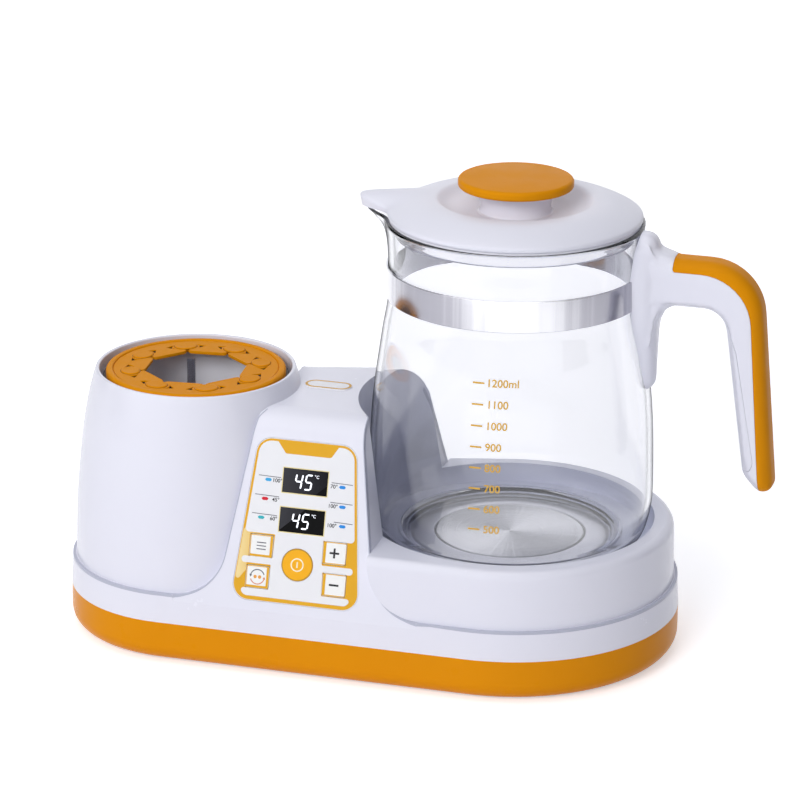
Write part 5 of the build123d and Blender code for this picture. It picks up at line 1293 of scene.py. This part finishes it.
# %% Studio floor
SEEN = ("Camera", "Transmission", "Glossy")
FLOOR_DROP, FLOOR_HALF, CURVE_FROM, CURVE_R = 0.0002, 4.0, 1.2, 0.6
turns = [radians(angle) for angle in range(10, 91, 10)]
rows = [(-2.5, 0.0), (CURVE_FROM, 0.0)]
rows += [(CURVE_FROM + CURVE_R * sin(turn), CURVE_R - CURVE_R * cos(turn)) for turn in turns]
rows += [(CURVE_FROM + CURVE_R, 3.0)]
floor_points = [(side * FLOOR_HALF, y, z - FLOOR_DROP) for y, z in rows for side in (-1, 1)]
floor_faces = [(2 * i, 2 * i + 1, 2 * i + 3, 2 * i + 2) for i in range(len(rows) - 1)]
backdrop, tree, surface = material("backdrop_paper_white")
fibre = add(tree, "TexNoise", None, {"Scale": 400.0, "Detail": 2.0})
tone = add(tree, "Mix", {"Factor": fibre}, {"A": linear("#F6F6F9"), "B": linear("#F2F2F6")},
           data_type="RGBA")
paper = add(tree, "BsdfDiffuse", {"Color": tone})
lift = add(tree, "Math", {0: any_ray(tree, *SEEN)}, {1: 0.5}, operation="MULTIPLY")
white = add(tree, "Emission", {"Strength": lift})
both = add(tree, "AddShader", {0: paper, 1: white})
tree.links.new(both.outputs["Shader"], surface)
place("studio_floor", floor_points, floor_faces, backdrop, None, 60)
print("floor", len(rows), "rows")

# %% [markdown]
# A big soft lamp hangs above and another stands in front; a weak one comes from each side and one
# from behind.  Those in front and behind don't show in mirrors or through glass.

# %% Studio lamps
SOFTBOXES = [
    ("lamp_above", (-0.3, -0.4, 1.9), 0.05, (1.8, 1.6), 9.5, True),
    ("lamp_front", (-0.3, -1.9, 1.15), 0.08, (1.0, 0.8), 22, False),
    ("lamp_left", (-1.7, -0.9, 0.9), 0.1, (1.0, 1.4), 3, True),
    ("lamp_right", (1.8, -0.5, 0.9), 0.1, (0.8, 1.4), 0.5, True),
    ("lamp_rear", (-0.1, 1.5, 1.3), 0.1, (1.2, 0.6), 5, False),
]
for name, spot, aim_z, size, power, reflected in SOFTBOXES:
    lamp = bpy.data.lights.new(name, "AREA")
    lamp.shape = "RECTANGLE"
    lamp.size, lamp.size_y = size
    lamp.energy = power
    holder = linked(name, lamp)
    holder.location = spot
    holder.rotation_euler = (Vector((0, 0, aim_z)) - Vector(spot)).to_track_quat("-Z", "Y").to_euler()
    holder.visible_glossy = reflected
    holder.visible_transmission = reflected
print(len(SOFTBOXES), "soft lamps")

# %% [markdown]
# Felt flags stand to both sides.  The camera doesn't see them, but they give steel and glass dark
# reflections along their edges that help them read as steel and glass; the glass's thin dark edge
# line is painted shade in its material.

# %% Flags
felt, tree, surface = material("flag_felt_black")
nap = add(tree, "TexNoise", None, {"Scale": 300.0})
dark = add(tree, "MapRange", {"Value": nap}, {"To Min": 0.02, "To Max": 0.05})
cloth = add(tree, "BsdfDiffuse", {"Color": dark})
nothing = add(tree, "BsdfTransparent")
cut_out = add(tree, "MixShader", {0: any_ray(tree, "Camera", "Shadow"), 1: cloth, 2: nothing})
tree.links.new(cut_out.outputs["Shader"], surface)
FLAG_X, FLAG_HEIGHT = 2.1, 1.6
for side, hand in ((-1, "left"), (1, "right")):
    for near, far, end in ((-1.3, -0.3, "front"), (0.3, 2.2, "rear")):
        upright = ((near, 0), (far, 0), (far, FLAG_HEIGHT), (near, FLAG_HEIGHT))
        corners = [(side * FLAG_X, y, z) for y, z in upright]
        place(f"flag_{hand}_{end}", corners, [(0, 1, 2, 3)], felt)
print("flags", FLAG_X, "m to each side")

# %% [markdown]
# The world is a dim, cool white that fills the shadows, and a full white for the camera, mirrors
# and clear glass.

# %% Surround
world = bpy.data.worlds.new("studio_surround")
bpy.context.scene.world = world
world.use_nodes = True
surround = world.node_tree
surround.nodes.clear()
dim = add(surround, "Background", None, {"Color": linear("#E9ECF6"), "Strength": 0.28})
bright = add(surround, "Background", None, {"Color": linear("#FFFFFF"), "Strength": 1.0})
either = add(surround, "MixShader", {0: any_ray(surround, *SEEN), 1: dim, 2: bright})
add(surround, "OutputWorld", {"Surface": either})
bpy.context.scene.view_settings.view_transform = "Standard"
print("world", world.name)

# %% [markdown]
# The camera stands well back with a long lens, a little above and to the right of the panel, so
# upright edges stay almost parallel.

# %% Camera
CAMERA_AZIMUTH = 16.08
CAMERA_ELEVATION = 19.34
CAMERA_DISTANCE = 1.6482
CAMERA_ROLL = 0.43
CAMERA_LENS = 172.1
camera_aim = Vector((KETTLE.x - 0.0482, KETTLE.y - 0.0065, 0.1066))
camera_data = bpy.data.cameras.new("studio_camera")
camera_data.lens = CAMERA_LENS
camera_data.sensor_width = 36.0
camera = linked("studio_camera", camera_data)
azimuth, elevation = radians(CAMERA_AZIMUTH), radians(CAMERA_ELEVATION)
away = Vector((sin(azimuth) * cos(elevation), -cos(azimuth) * cos(elevation), sin(elevation)))
camera.location = camera_aim + away * CAMERA_DISTANCE
facing = (-away).to_track_quat("-Z", "Y").to_matrix().to_4x4()
camera.rotation_euler = (facing @ Matrix.Rotation(radians(CAMERA_ROLL), 4, "Z")).to_euler()
bpy.context.scene.camera = camera
print("camera at", [round(v, 3) for v in camera.location])
